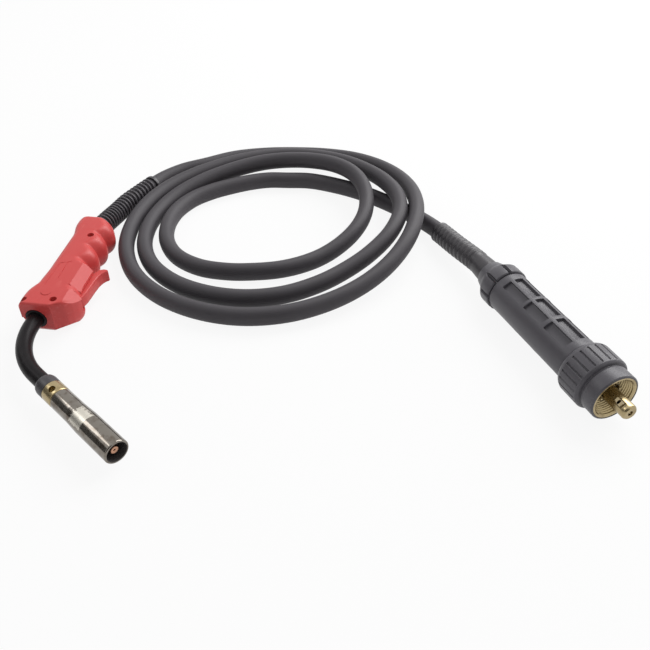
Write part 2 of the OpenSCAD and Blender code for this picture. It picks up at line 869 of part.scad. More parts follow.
module boot_ring_nut() {
  r = ring_nut_d / 2;
  hub = r - 3.6;
  color(plug_grey)
    on_plug()
      difference() {
        union() {
          spun([[0, housing_end + 0.6], [hub, housing_end + 0.6], [hub, housing_end + 15],
                [13.4, ring_nut_end], [0, ring_nut_end]]);
          intersection() {
            spun([[0, housing_end + 0.6], [r - 0.8, housing_end + 0.6], [r, housing_end + 1.6],
                  [r, housing_end + 13], [15.4, housing_end + 22], [0, housing_end + 22]]);
            union() {
              for (i = [0 : ring_nut_lugs - 1])
                rotate([0, 0, 360 * (i + 0.5) / ring_nut_lugs])
                  translate([0, -0.3 * r, housing_end])
                    cube([r + 1, 0.6 * r, 24]);
            }
          }
        }
        tube(housing_end, housing_end + 10.6, 15.6 + run_gap);
        tube(housing_end, ring_nut_end + 1, 12.2);
      }
}
pocket_rows = [47, 83, 119, 227, 263, 299];
pocket_w = 8.6;
pocket_spans = [[8.4, 36.4], [40.6, 66], [69.3, housing_len - 8.7]];
module pockets() {
  r = housing_d / 2;
  for (a = pocket_rows, p = pocket_spans)
    rotate([0, 0, 180 - a])
      translate([r - pocket_depth, -pocket_w / 2, housing_at + p[0]])
        cube([pocket_depth + 4, pocket_w, p[1] - p[0]]);
}
module plug_housing() {
  r = housing_d / 2;
  color(plug_grey)
    on_plug()
      difference() {
        spun([[0, sleeve_at], [sleeve_r, sleeve_at], [sleeve_r, housing_at], [r - 0.6, housing_at],
              [r, housing_at + 0.6], [r, housing_end - 0.6], [r - 0.6, housing_end],
              [15.6, housing_end], [15.6, housing_end + 9.6], [0, housing_end + 9.6]]);
        pockets();
        tube(sleeve_at - 1, sleeve_at + 40, body_r + run_gap);
        tube(sleeve_at + 36, housing_end + 6.6, 12.4);
        tube(housing_end + 6.5, housing_end + 11, 13.2);
        // Groove of the retaining ring
        difference() {
          tube(clip_at - 0.1, clip_at + clip_t + 0.1, sleeve_r + 2);
          tube(clip_at - 1, clip_at + clip_t + 1, sleeve_r - 1.2);
        }
        // Lock screw
        translate([0, 0, sleeve_at + 26])
          rotate([0, -90, 0])
            cylinder(r = 2.02, h = r + 1);
      }
}
module housing_lock_screw() {
  r = housing_d / 2;
  color(steel)
    on_plug()
      translate([-body_r - 0.1, 0, sleeve_at + 26])
        rotate([0, -90, 0])
          difference() {
            cylinder(r = 2, h = r - body_r - 0.9);
            translate([0, 0, r - body_r - 2.6])
              cylinder(r = 1, h = 3, $fn = 6);
          }
}
module union_nut() {
  r = nut_d / 2;
  collar_r = nut_collar_d / 2;
  color(plug_grey)
    on_plug()
      difference() {
        spun([[collar_r - 1, 0], [collar_r, 1], [collar_r, 13.4], [collar_r - 0.8, 13.8],
              [collar_r - 0.8, 15.4], [r - 1.2, 15.8], [r, 17.6], [r, nut_rest], [r - 0.7, nut_rest + 2],
              [r - 2.2, nut_len - 1.2], [r - 4, nut_len], [sleeve_r + run_gap, nut_len],
              [sleeve_r + run_gap, clip_at + clip_t + 0.4], [sleeve_r + 2.4, clip_at + clip_t + 0.4],
              [sleeve_r + 2.4, insert_len + 1], [insert_r + 0.02, insert_len + 1], [insert_r + 0.02, 0]]);
        for (i = [0 : nut_grooves - 1])
          rotate([0, 0, 360 * i / nut_grooves])
            translate([r - 1, -0.75, 17])
              cube([4, 1.5, nut_rest - 16]);
      }
}
module nut_thread_insert() {
  color(brass)
    on_plug()
      spun([[insert_bore_d / 2 + 0.9, 0.4], [insert_r, 0.4], [insert_r, insert_len + 0.9],
            [insert_bore_d / 2, insert_len + 0.9], [insert_bore_d / 2, 1.3]]);
}
module nut_retaining_ring() {
  color(steel)
    on_plug()
      translate([0, 0, clip_at])
        rotate_extrude(angle = 330)
          polygon([[sleeve_r - 1, 0], [sleeve_r + 1.6, 0], [sleeve_r + 1.6, clip_t], [sleeve_r - 1, clip_t]]);
}
module plug_body() {
  color(brass)
    on_plug()
      difference() {
        spun([[0, face_at], [body_r - 0.5, face_at], [body_r, face_at + 0.5], [body_r, flange_at],
              [sleeve_r - 0.6, flange_at], [sleeve_r - 0.6, sleeve_at - 0.1], [body_r, sleeve_at - 0.1],
              [body_r, sleeve_at + 35.5], [8, sleeve_at + 37], [8, cable_end_at], [0, cable_end_at]]);
        tube(face_at - 1, face_at + 11, 4.02);
        tube(face_at, cable_end_at + 1, 2.4);
        for (m = [-1, 1])
          rotate([0, 0, pin_angle])
            translate([m * pin_offset, 0, 0]) {
              tube(face_at - 1, face_at + bush_len, 1.7);
              tube(face_at, face_at + bush_len + 14, 1.5);
            }
      }
}
window_len = 10;
window_w = 5.4;
module plug_spigot() {
  r = spigot_d / 2;
  color(brass)
    on_plug()
      difference() {
        spun([[0, -spigot_reach], [r - 1.2, -spigot_reach], [r, 1.6 - spigot_reach], [r, face_at],
              [4, face_at], [4, face_at + 10], [0, face_at + 10]]);
        tube(-spigot_reach - 1, face_at + 11, 2.2);
        translate([0, 0, 3.6 - spigot_reach])
          rotate([0, 0, 55])
            translate([-r - 1, -window_w / 2, 0])
              cube([2 * r + 2, window_w, window_len]);
      }
}
pin_angle = -20;
module at_pin(m) {
  on_plug()
    rotate([0, 0, pin_angle])
      translate([m * pin_offset, 0, 0])
        children();
}
module pin_bushes() {
  color(black_rubber)
    for (m = [-1, 1])
      at_pin(m)
        tube(face_at, face_at + bush_len, 1.68, pin_d / 2 + run_gap);
}
// A pin is kept in by its head behind the bush
module signal_pin(m) {
  color(brass)
    at_pin(m)
      spun([[0, face_at - 3.6], [pin_d / 2 - 0.3, face_at - 3.6], [pin_d / 2, face_at - 3.2],
            [pin_d / 2, face_at + bush_len + 0.2], [1.4, face_at + bush_len + 0.2],
            [1.4, face_at + bush_len + 1.6], [0, face_at + bush_len + 1.6]]);
}
module signal_pin_a() {
  signal_pin(-1);
}
module signal_pin_b() {
  signal_pin(1);
}
module pin_springs() {
  from = face_at + bush_len + 1.9 + pin_travel;
  color(steel)
    for (m = [-1, 1])
      at_pin(m)
        tube(from, face_at + bush_len + 13.9, 1.4, 0.8);
}

// ---- least gaps of the wound pieces, in millimetres ----

function pressed(p) = [p[0], p[1], p[2] * oval * oval];
coil_gap = min([
  for (i = [0 : len(coil_points) - 1], j = [i + 12 : 1 : len(coil_points) - 1])
    norm(pressed(coil_points[i]) - pressed(coil_points[j])) - cable_d * oval
]);
spring_gap = min([
  for (i = [0 : len(spring_points) - 1 - curl_rings])
    norm(spring_points[i] - spring_points[i + curl_rings]) - spring_wire_d
]);
echo(str("least gap of the coil to itself: ", coil_gap));
echo(str("least gap of the spring to itself: ", spring_gap));

handle_shell_left();
handle_shell_right();
handle_screws();
neck_collar();
trigger();
trigger_pivot_pin();
trigger_return_spring();
switch_body();
switch_plunger();
switch_leads();
neck_tube();
neck_insulation();
neck_block();
cable_end_fitting();
front_insulator();
tip_holder();
nozzle_spring_ring();
contact_tip();
gas_nozzle();
cable_support_spring();
spring_end_collar();
cable_torch_lead();
cable_coil();
cable_plug_lead();
cable_boot();
boot_ring_nut();
plug_housing();
housing_lock_screw();
union_nut();
nut_thread_insert();
nut_retaining_ring();
plug_body();
plug_spigot();
pin_bushes();
signal_pin_a();
signal_pin_b();
pin_springs();
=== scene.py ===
"""Looks of a gas-cooled MIG welding torch, its coiled cable and its central connector.

All sizes are in millimetres in the torch's own frame and are scaled to metres when a
piece is finished. Places and the cable's route repeat those of the part's source.
"""

import json
import logging
import math
from dataclasses import dataclass, field
from enum import Enum
from typing import Iterable, Optional, Sequence

import bmesh
import bpy
from mathutils import Matrix, Vector


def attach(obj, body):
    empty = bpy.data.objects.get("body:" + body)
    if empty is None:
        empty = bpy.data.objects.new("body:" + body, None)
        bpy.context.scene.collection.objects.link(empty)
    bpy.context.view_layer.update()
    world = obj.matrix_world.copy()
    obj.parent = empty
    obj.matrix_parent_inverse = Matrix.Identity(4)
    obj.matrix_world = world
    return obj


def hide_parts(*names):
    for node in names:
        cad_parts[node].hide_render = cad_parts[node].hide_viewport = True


LOG = logging.getLogger("torch")
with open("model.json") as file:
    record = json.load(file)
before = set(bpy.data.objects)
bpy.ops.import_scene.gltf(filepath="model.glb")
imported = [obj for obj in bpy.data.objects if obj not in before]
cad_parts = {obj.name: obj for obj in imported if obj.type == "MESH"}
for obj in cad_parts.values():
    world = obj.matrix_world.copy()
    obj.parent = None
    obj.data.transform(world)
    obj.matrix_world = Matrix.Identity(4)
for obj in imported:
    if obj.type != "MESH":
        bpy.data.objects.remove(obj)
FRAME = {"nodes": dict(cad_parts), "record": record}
MM = 0.001
Point2 = tuple[float, float]
Colour = tuple[float, float, float, float]


class Body(Enum):
    """The moving bodies of the torch."""

    TORCH = "torch"
    TRIGGER = "trigger"
    NOZZLE = "gas_nozzle"
    NUT = "union_nut"


class Slot(Enum):
    """The material slots of the record."""

    RED = "red_plastic"
    RUBBER = "black_rubber"
    SPRING = "black_spring"
    JACKET = "cable_jacket"
    GREY = "grey_plastic"
    BRASS = "brass"
    COPPER = "copper"
    NICKEL = "nickel"
    STEEL = "steel"


# ---------------------------------------------------------------- materials


class Value:
    """A socket of a node tree that takes part in Python arithmetic."""

    def __init__(self, graph: "Graph", socket: bpy.types.NodeSocket) -> None:
        """Keeps the socket and the graph that makes new nodes."""
        self.graph = graph
        self.socket = socket

    def _math(self, operation: str, *operands: object) -> "Value":
        """Adds a Math node for an operation on the given operands."""
        return self.graph.node("ShaderNodeMath", {"operation": operation}, *operands)

    def __add__(self, other: object) -> "Value":
        """Sum."""
        return self._math("ADD", self, other)

    def __mul__(self, other: object) -> "Value":
        """Product."""
        return self._math("MULTIPLY", self, other)

    def __sub__(self, other: object) -> "Value":
        """Difference."""
        return self._math("SUBTRACT", self, other)

    def __rsub__(self, other: object) -> "Value":
        """Difference from a number."""
        return self._math("SUBTRACT", other, self)

    def clamp(self) -> "Value":
        """The value kept from 0 to 1."""
        return self.graph.node("ShaderNodeClamp", {}, self, 0.0, 1.0)

    def above(self, start: float, slope: float) -> "Value":
        """From 0 at start up to 1, at a slope."""
        return ((self - start) * slope).clamp()


class Graph:
    """A material's node tree, built by calls that take values or other sockets."""

    def __init__(self, name: str) -> None:
        """Starts a material with one Principled shader.

        Args:
            name: The material's name.
        """
        self.material = bpy.data.materials.new(name)
        self.material.use_nodes = True
        self.tree = self.material.node_tree
        self.shader = self.tree.nodes["Principled BSDF"]

    def node(self, kind: str, settings: dict, *inputs: object, out: object = 0) -> Value:
        """Adds a node.

        Args:
            kind: The node's type.
            settings: Its settings, set before its sockets.
            inputs: Values or sockets for its inputs, in order; None skips one.
            out: Name or number of the output that is returned.

        Returns:
            The output as a value.
        """
        made = self.tree.nodes.new(kind)
        for key, value in settings.items():
            setattr(made, key, value)
        for socket, value in zip(made.inputs, inputs):
            if value is not None:
                self.put(socket, value)
        return Value(self, made.outputs[out])

    def put(self, socket: bpy.types.NodeSocket, value: object) -> None:
        """Sets or links one input socket."""
        if isinstance(value, Value):
            self.tree.links.new(value.socket, socket)
        else:
            socket.default_value = value

    def set(self, **inputs: object) -> None:
        """Sets the shader's sockets, named with underscores for spaces."""
        for name, value in inputs.items():
            self.put(self.shader.inputs[name.replace("_", " ")], value)

    def position(self, scale: Sequence[float] = (1, 1, 1)) -> Value:
        """Object coordinates in millimetres, stretched by scale."""
        coordinates = self.node("ShaderNodeTexCoord", {}, out="Object")
        size = [s / MM for s in scale]
        return self.node("ShaderNodeMapping", {}, coordinates, None, None, size)

    def noise_on(self, place: Value, scale: float, detail: float) -> Value:
        """Noise at a place."""
        made = self.tree.nodes.new("ShaderNodeTexNoise")
        self.put(made.inputs["Vector"], place)
        made.inputs["Scale"].default_value = scale
        made.inputs["Detail"].default_value = detail
        return Value(self, made.outputs["Fac"])

    def noise(self, size: float, detail: float = 2, scale: Sequence[float] = (1, 1, 1)) -> Value:
        """Noise whose features are about size millimetres wide."""
        return self.noise_on(self.position(scale), 1 / size, detail)

    def blend(self, factor: object, first: object, second: object) -> Value:
        """A colour between two, by a factor."""
        made = self.tree.nodes.new("ShaderNodeMix")
        made.data_type = "RGBA"
        self.put(made.inputs[0], factor)
        self.put(made.inputs[6], first)
        self.put(made.inputs[7], second)
        return Value(self, made.outputs[2])

    def bump(self, height: Value, depth: float) -> Value:
        """A normal from a height from 0 to 1 that stands for depth millimetres."""
        made = self.tree.nodes.new("ShaderNodeBump")
        made.inputs["Strength"].default_value = 1.0
        made.inputs["Distance"].default_value = depth * MM
        self.put(made.inputs["Height"], height)
        return Value(self, made.outputs["Normal"])


def colour(red: float, green: float, blue: float) -> Colour:
    """A colour given in display values from 0 to 255, as linear values."""

    def linear(value: float) -> float:
        """One channel."""
        value /= 255
        return value / 12.92 if value < 0.04045 else ((value + 0.055) / 1.055) ** 2.4

    return (linear(red), linear(green), linear(blue), 1.0)


@dataclass(frozen=True)
class MouldedPlastic:
    """A moulded plastic or rubber with a fine grain, slight shade changes and scuffs.

    Widths of the patterns are in millimetres.
    """

    name: str
    base: Colour
    worn: Colour
    roughness: float = 0.45
    grain: float = 0.35
    depth: float = 0.03
    scuff: float = 0.08
    gloss: float = 0.5
    cloud_w: float = 28.0
    streak_w: float = 3.5
    shaded: float = 0.86

    def build(self) -> bpy.types.Material:
        """The finish as a material."""
        g = Graph(self.name)
        cloud = g.noise(self.cloud_w, 3)
        fine = g.noise(self.grain, 2)
        streak = g.noise(self.streak_w, 4, (1, 0.25, 1))
        rub = streak.above(0.56, 6) * cloud.above(0.42, 4)
        darker = (*(c * self.shaded for c in self.base[:3]), 1.0)
        g.set(
            Base_Color=g.blend(rub * self.scuff * 4, g.blend(cloud * 0.5, self.base, darker), self.worn),
            Roughness=fine * 0.1 + cloud * 0.08 + rub * self.scuff + (self.roughness - 0.09),
            Normal=g.bump(fine * 0.8 + rub * 0.2, self.depth),
            Specular_IOR_Level=self.gloss,
        )
        return g.material


@dataclass(frozen=True)
class TurnedMetal:
    """A turned or plated metal with faint tool marks and handling marks."""

    name: str
    base: Colour
    dull: Colour
    roughness: float = 0.2
    marks: float = 0.01
    spots: float = 0.5
    cloud_w: float = 9.0
    fine_w: float = 0.5
    scratch_w: float = 0.6

    def build(self) -> bpy.types.Material:
        """The finish as a material."""
        g = Graph(self.name)
        cloud = g.noise(self.cloud_w, 4)
        fine = g.noise(self.fine_w, 3)
        scratch = g.noise(self.scratch_w, 2, (1, 1, 0.08))
        tarnish = cloud.above(0.5, 5) * self.spots
        g.set(
            Base_Color=g.blend(tarnish, self.base, self.dull),
            Metallic=1.0,
            Roughness=tarnish * 0.12 + fine * 0.06 + scratch * 0.05 + (self.roughness - 0.055),
            Normal=g.bump(scratch * 0.5 + fine * 0.5, self.marks),
        )
        return g.material


@dataclass(frozen=True)
class PlatedNozzle:
    """Polished plating that has browned, with a painted highlight on its taper and a darker, duller
    bore.

    The painted highlight is a lighter, rougher patch that stands in for a reflection.
    It lies on the taper, between two distances from the neck's end, on the side that a given
    direction points to.
    """

    name: str
    polished: Colour = (0.225, 0.205, 0.18, 1)
    browned: Colour = (0.105, 0.08, 0.06, 1)
    # colour of the painted highlight, which stands in for a reflection
    highlight_colour: Colour = (0.60, 0.57, 0.50, 1)
    # colour inside the bore
    bore_colour: Colour = (0.07, 0.065, 0.064, 1)
    highlight_side: tuple[float, float, float] = (-0.20, -0.28, 0.94)
    patch: tuple[float, float] = (66.0, 81.5)
    highlight_cosine: float = 0.66
    torn_rear: float = 9.0
    torn_front: float = 1.6
    torn_sides: float = 6.0
    bore_r: float = 9.0

    def build(self) -> bpy.types.Material:
        """The finish as a material, by distance along and from the nozzle's axis."""
        g = Graph(self.name)
        axis = tuple(TORCH.front.to_3x3() @ Vector((0, 0, 1)))
        vector = "ShaderNodeVectorMath"
        from_end = g.node(vector, {"operation": "SUBTRACT"}, g.position(), tuple(TORCH.neck_end))
        along = g.node(vector, {"operation": "DOT_PRODUCT"}, from_end, axis, out="Value")
        off = g.node(vector, {"operation": "CROSS_PRODUCT"}, from_end, axis)
        radius = g.node(vector, {"operation": "LENGTH"}, off, out="Value")
        facing = g.node(vector, {"operation": "DOT_PRODUCT"}, from_end, self.highlight_side, out="Value")
        torn, cloud, fine = g.noise(1.8, 3) - 0.5, g.noise(6, 4), g.noise(0.4, 3)
        rear, front = along + torn * self.torn_rear, along + torn * self.torn_front
        # painted highlight: a lighter, rougher patch on the taper's upper side stands in for a
        # reflection
        patch = rear.above(self.patch[0], 0.8) * ((self.patch[1] - front) * 1.5).clamp()
        patch = patch * ((facing - radius * self.highlight_cosine + torn * self.torn_sides) * 0.7).clamp()
        # darker, duller and less metallic inside the bore
        inside = ((self.bore_r - radius) * 10).clamp()
        plate = g.blend(cloud.above(0.46, 4) * 0.8, self.polished, self.browned)
        g.set(
            Base_Color=g.blend(inside, g.blend(patch, plate, self.highlight_colour), self.bore_colour),
            Metallic=1.0 - inside * 0.7,
            Roughness=patch * 0.24 + inside * 0.5 + fine * 0.06 + 0.09,
            Normal=g.bump(fine, 0.006),
        )
        return g.material


@dataclass(frozen=True)
class RubberJacket:
    """The cable's jacket: dull rubber, drawn lengthwise, with a soft bloom and rubbed spots."""

    name: str
    base: Colour
    bloom: Colour
    roughness: float = 0.46
    gloss: float = 0.36
    stretch: tuple[float, float, float] = (12.0, 20.0, 1.0)
    line_depth: float = 0.05

    def build(self) -> bpy.types.Material:
        """The finish as a material, on the jacket's own map."""
        g = Graph(self.name)
        uv = g.node("ShaderNodeUVMap", {"uv_map": "jacket"})
        lines = g.noise_on(g.node("ShaderNodeMapping", {}, uv, None, None, self.stretch), 1.0, 3.0)
        cloud, fine = g.noise(35, 3), g.noise(0.6, 3)
        g.set(
            Base_Color=g.blend((cloud - 0.25).clamp() * 0.8, self.base, self.bloom),
            Roughness=fine * 0.1 + cloud * 0.12 + self.roughness,
            Normal=g.bump(lines * 0.75 + fine * 0.25, self.line_depth),
            Specular_IOR_Level=self.gloss,
        )
        return g.material


def finishes() -> dict[Slot, object]:
    """The finish of each slot."""
    red, coral = colour(209, 71, 69), colour(226, 124, 118)
    black, dusty = colour(56, 53, 57), colour(74, 70, 73)
    wire, bare = colour(78, 74, 79), colour(90, 86, 88)
    grey, pale = colour(87, 85, 90), colour(112, 109, 114)
    brass, old_brass = (0.40, 0.32, 0.18, 1), (0.22, 0.165, 0.085, 1)
    copper, old_copper = (0.52, 0.29, 0.19, 1), (0.34, 0.18, 0.12, 1)
    steel, old_steel = (0.55, 0.55, 0.56, 1), (0.35, 0.34, 0.34, 1)
    return {
        Slot.RED: MouldedPlastic("red_handle_plastic", red, coral, 0.40, 0.5, 0.025, gloss=0.40),
        Slot.RUBBER: MouldedPlastic("black_rubber", black, dusty, 0.38, 0.4, 0.02, gloss=0.5),
        Slot.SPRING: MouldedPlastic("black_spring_wire", wire, bare, 0.3, 0.3, 0.005, gloss=0.6),
        Slot.JACKET: RubberJacket("cable_jacket", colour(64, 61, 65), colour(80, 77, 81)),
        Slot.GREY: MouldedPlastic("grey_plug_plastic", grey, pale, 0.40, 0.5, 0.02, gloss=0.36),
        Slot.BRASS: TurnedMetal("turned_brass", brass, old_brass, 0.27),
        Slot.COPPER: TurnedMetal("turned_copper", copper, old_copper, 0.36),
        Slot.NICKEL: PlatedNozzle("nickel_plate"),
        Slot.STEEL: TurnedMetal("plain_steel", steel, old_steel, 0.3),
    }


class Wardrobe:
    """Builds each finish once and hands it out."""

    def __init__(self) -> None:
        """Starts with nothing built."""
        self.finishes = finishes()
        self.built: dict[object, bpy.types.Material] = {}

    def get(self, wanted: object) -> bpy.types.Material:
        """The material of a slot or of a finish of its own."""
        if wanted not in self.built:
            self.built[wanted] = self.finishes.get(wanted, wanted).build()
        return self.built[wanted]


WARDROBE = Wardrobe()
NECK_BLACK = MouldedPlastic(
    "neck_rubber", colour(25, 22, 24), colour(60, 56, 58), 0.36, 0.4, 0.02, 0.06, 0.12
)


# ---------------------------------------------------------------- mesh tools


def soften(
    points: Sequence[Point2], radius: float, steps: int = 3, closed: bool = True
) -> list[Point2]:
    """Rounds the corners of an outline.

    Args:
        points: The outline's corners.
        radius: Largest rounding in millimetres; short sides get less.
        steps: Pieces of each rounding.
        closed: Whether the outline returns to its first corner.

    Returns:
        The rounded outline.
    """
    out: list[Point2] = []
    count = len(points)
    for i, here in enumerate(points):
        if not closed and i in (0, count - 1):
            out.append(here)
            continue
        p, a, b = Vector(here), Vector(points[i - 1]), Vector(points[(i + 1) % count])
        back, ahead = a - p, b - p
        cut = min(radius, back.length * 0.45, ahead.length * 0.45)
        start, end = p + back.normalized() * cut, p + ahead.normalized() * cut
        for k in range(steps + 1):
            t = k / steps
            q = start * (1 - t) ** 2 + p * 2 * t * (1 - t) + end * t**2
            out.append((q.x, q.y))
    return out


def clamp(x: float) -> float:
    """A number held between 0 and 1."""
    return max(0.0, min(1.0, x))


def hoop(here: Vector, side: Vector, up: Vector, sides: int) -> list[Vector]:
    """A ring of points round a place, given its half width and half height as vectors."""
    turns = (2 * math.pi * k / sides for k in range(sides))
    return [here + math.cos(a) * side + math.sin(a) * up for a in turns]


def rotate(degrees: float, axis: str = "Z") -> Matrix:
    """A turn round an axis."""
    return Matrix.Rotation(math.radians(degrees), 4, axis)


def shift(x: float, y: float, z: float) -> Matrix:
    """A move."""
    return Matrix.Translation((x, y, z))


class Shape:
    """A mesh in the making, in millimetres, built with bmesh operators."""

    def __init__(self) -> None:
        """Starts empty."""
        self.bm = bmesh.new()

    def _new(self, before: int) -> list[bmesh.types.BMVert]:
        """The vertices added since there were before of them."""
        self.bm.verts.ensure_lookup_table()
        return self.bm.verts[before:]

    def spin(self, profile: Sequence[Point2], steps: int = 64, angle: float = 360) -> "Shape":
        """Turns an outline of (radius, height) round +Z.

        Args:
            profile: The outline; closed, unless it starts and ends on the axis.
            steps: Steps of the turn.
            angle: Degrees of the turn.

        Returns:
            The shape itself.
        """
        before = len(self.bm.verts)
        on_axis = abs(profile[0][0]) < 1e-6 and abs(profile[-1][0]) < 1e-6
        verts = [self.bm.verts.new((r, 0, z)) for r, z in profile]
        edges = [self.bm.edges.new(pair) for pair in zip(verts, verts[1:])]
        if not on_axis:
            edges.append(self.bm.edges.new((verts[-1], verts[0])))
        full = angle >= 360
        bmesh.ops.spin(
            self.bm, geom=verts + edges, cent=(0, 0, 0), axis=(0, 0, 1), dvec=(0, 0, 0),
            angle=math.radians(angle), steps=steps, use_merge=full, use_duplicate=False,
        )
        new = self._new(before)
        bmesh.ops.remove_doubles(self.bm, verts=new, dist=1e-4)
        if not full:
            bmesh.ops.holes_fill(self.bm, edges=[e for e in self.bm.edges if e.is_boundary], sides=0)
        return self.outward()

    def skin(self, rings: Sequence[Sequence[Vector]], looped: bool = False) -> "Shape":
        """Draws a skin through rings of the same number of points.

        Args:
            rings: The rings in order.
            looped: Whether the last ring joins the first; otherwise both ends are closed.

        Returns:
            The shape itself.
        """
        made = bmesh.ops.create_circle(self.bm, cap_ends=False, segments=len(rings[0]), radius=1)
        last = list(made["verts"])
        first = last
        for vert, place in zip(last, rings[0]):
            vert.co = place
        for ring in rings[1:]:
            edges = [self.bm.edges.get((a, b)) for a, b in zip(last, last[1:] + last[:1])]
            grown = bmesh.ops.extrude_edge_only(self.bm, edges=edges)["geom"]
            fresh = {g for g in grown if isinstance(g, bmesh.types.BMVert)}
            following = []
            for vert in last:
                following.append(next(o for e in vert.link_edges if (o := e.other_vert(vert)) in fresh))
            for vert, place in zip(following, ring):
                vert.co = place
            last = following
        if looped:
            ends = [self.bm.edges.get((a, b)) for r in (first, last) for a, b in zip(r, r[1:] + r[:1])]
            bmesh.ops.bridge_loops(self.bm, edges=ends)
        else:
            self.bm.faces.new(first)
            self.bm.faces.new(last)
        return self.outward()

    def prism(self, outline: Sequence[Point2], low: float, high: float) -> "Shape":
        """Extrudes an outline in XY from one height to another."""
        face = self.bm.faces.new([self.bm.verts.new((x, y, low)) for x, y in outline])
        grown = bmesh.ops.extrude_face_region(self.bm, geom=[face])["geom"]
        top = [g for g in grown if isinstance(g, bmesh.types.BMVert)]
        bmesh.ops.translate(self.bm, verts=top, vec=(0, 0, high - low))
        return self.outward()

    def block(self, low: Sequence[float], high: Sequence[float]) -> "Shape":
        """A block between two corners."""
        before = len(self.bm.verts)
        bmesh.ops.create_cube(self.bm, size=1)
        size, middle = Vector(high) - Vector(low), (Vector(high) + Vector(low)) / 2
        for vert in self._new(before):
            vert.co = Vector(c * s for c, s in zip(vert.co, size)) + middle
        return self

    def rod(self, radius: float, low: float, high: float, sides: int = 48) -> "Shape":
        """A cylinder along +Z."""
        before = len(self.bm.verts)
        bmesh.ops.create_cone(
            self.bm, cap_ends=True, segments=sides, radius1=radius, radius2=radius,
            depth=high - low,
        )
        bmesh.ops.translate(self.bm, verts=self._new(before), vec=(0, 0, (low + high) / 2))
        return self

    def bevel(self, width: float, angle: float = 40, steps: int = 2) -> "Shape":
        """Rounds the edges that are sharper than an angle."""
        limit = math.radians(angle)
        edges = [e for e in self.bm.edges if e.is_manifold and e.calc_face_angle(0) > limit]
        bmesh.ops.bevel(
            self.bm, geom=edges, offset=width, offset_type="OFFSET", segments=steps, profile=0.5,
            affect="EDGES", clamp_overlap=True, material=-1,
        )
        return self

    def move(self, matrix: Matrix) -> "Shape":
        """Turns and moves the whole shape."""
        self.bm.transform(matrix)
        return self

    def outward(self) -> "Shape":
        """Turns all faces outwards."""
        bmesh.ops.recalc_face_normals(self.bm, faces=self.bm.faces[:])
        return self

    def add(self, other: "Shape") -> "Shape":
        """Takes another shape in."""
        mesh = bpy.data.meshes.new("passing")
        other.bm.to_mesh(mesh)
        other.bm.free()
        self.bm.from_mesh(mesh)
        bpy.data.meshes.remove(mesh)
        return self

    def cut(self, *cutters: "Shape") -> "Shape":
        """Takes other shapes away."""
        return self._boolean("DIFFERENCE", cutters)

    def keep(self, other: "Shape") -> "Shape":
        """Keeps what lies in another shape."""
        return self._boolean("INTERSECT", (other,))

    def _boolean(self, operation: str, others: Iterable["Shape"]) -> "Shape":
        """Combines with other shapes one by one."""
        for other in others:
            whole = self._loose("whole")
            tool = other._loose("tool")
            step = whole.modifiers.new("step", "BOOLEAN")
            step.operation, step.object, step.solver = operation, tool, "EXACT"
            result = bpy.data.meshes.new_from_object(
                whole.evaluated_get(bpy.context.evaluated_depsgraph_get())
            )
            self.bm.clear()
            self.bm.from_mesh(result)
            for loose in (whole, tool):
                mesh = loose.data
                bpy.data.objects.remove(loose)
                bpy.data.meshes.remove(mesh)
            bpy.data.meshes.remove(result)
        return self

    def _loose(self, name: str) -> bpy.types.Object:
        """The shape as a passing object."""
        mesh = bpy.data.meshes.new(name)
        self.bm.to_mesh(mesh)
        made = bpy.data.objects.new(name, mesh)
        bpy.context.scene.collection.objects.link(made)
        bpy.context.view_layer.update()
        return made


@dataclass
class Piece:
    """A finished piece: its shape, finish, body and the nodes that it stands for."""

    name: str
    shape: Shape
    slot: Slot
    body: Body = Body.TORCH
    replaces: Sequence[str] = ()
    smooth: float = 35
    jacket: Optional[tuple[int, int]] = None
    look: Optional[MouldedPlastic] = None

    def make(self) -> bpy.types.Object:
        """Turns the shape into an object that rides on its body.

        Returns:
            The object, at the origin, with its place in its mesh.
        """
        bm = self.shape.bm
        bm.transform(Matrix.Scale(MM, 4))
        if self.jacket:
            self._map_jacket(bm)
        mesh = bpy.data.meshes.new(self.name)
        bm.to_mesh(mesh)
        bm.free()
        mesh.polygons.foreach_set("use_smooth", [True] * len(mesh.polygons))
        mesh.set_sharp_from_angle(angle=math.radians(self.smooth))
        mesh.materials.append(WARDROBE.get(self.look or self.slot))
        made = bpy.data.objects.new(self.name, mesh)
        bpy.context.scene.collection.objects.link(made)
        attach(made, self.body.value)
        if self.replaces:
            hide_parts(*self.replaces)
        LOG.info("%s: %d faces on %s", self.name, len(mesh.polygons), self.body.value)
        return made

    def _map_jacket(self, bm: bmesh.types.BMesh) -> None:
        """Maps a tube's skin by ring and side, from 0 to 24 along its length."""
        rings, sides = self.jacket
        layer = bm.loops.layers.uv.new("jacket")
        bm.verts.index_update()
        for face in bm.faces:
            for loop in face.loops:
                ring, side = divmod(loop.vert.index, sides)
                turn = 2 * math.pi * side / sides
                loop[layer].uv = (ring / rings * 24, 0.5 + 0.45 * math.sin(turn))


# ---------------------------------------------------------------- places


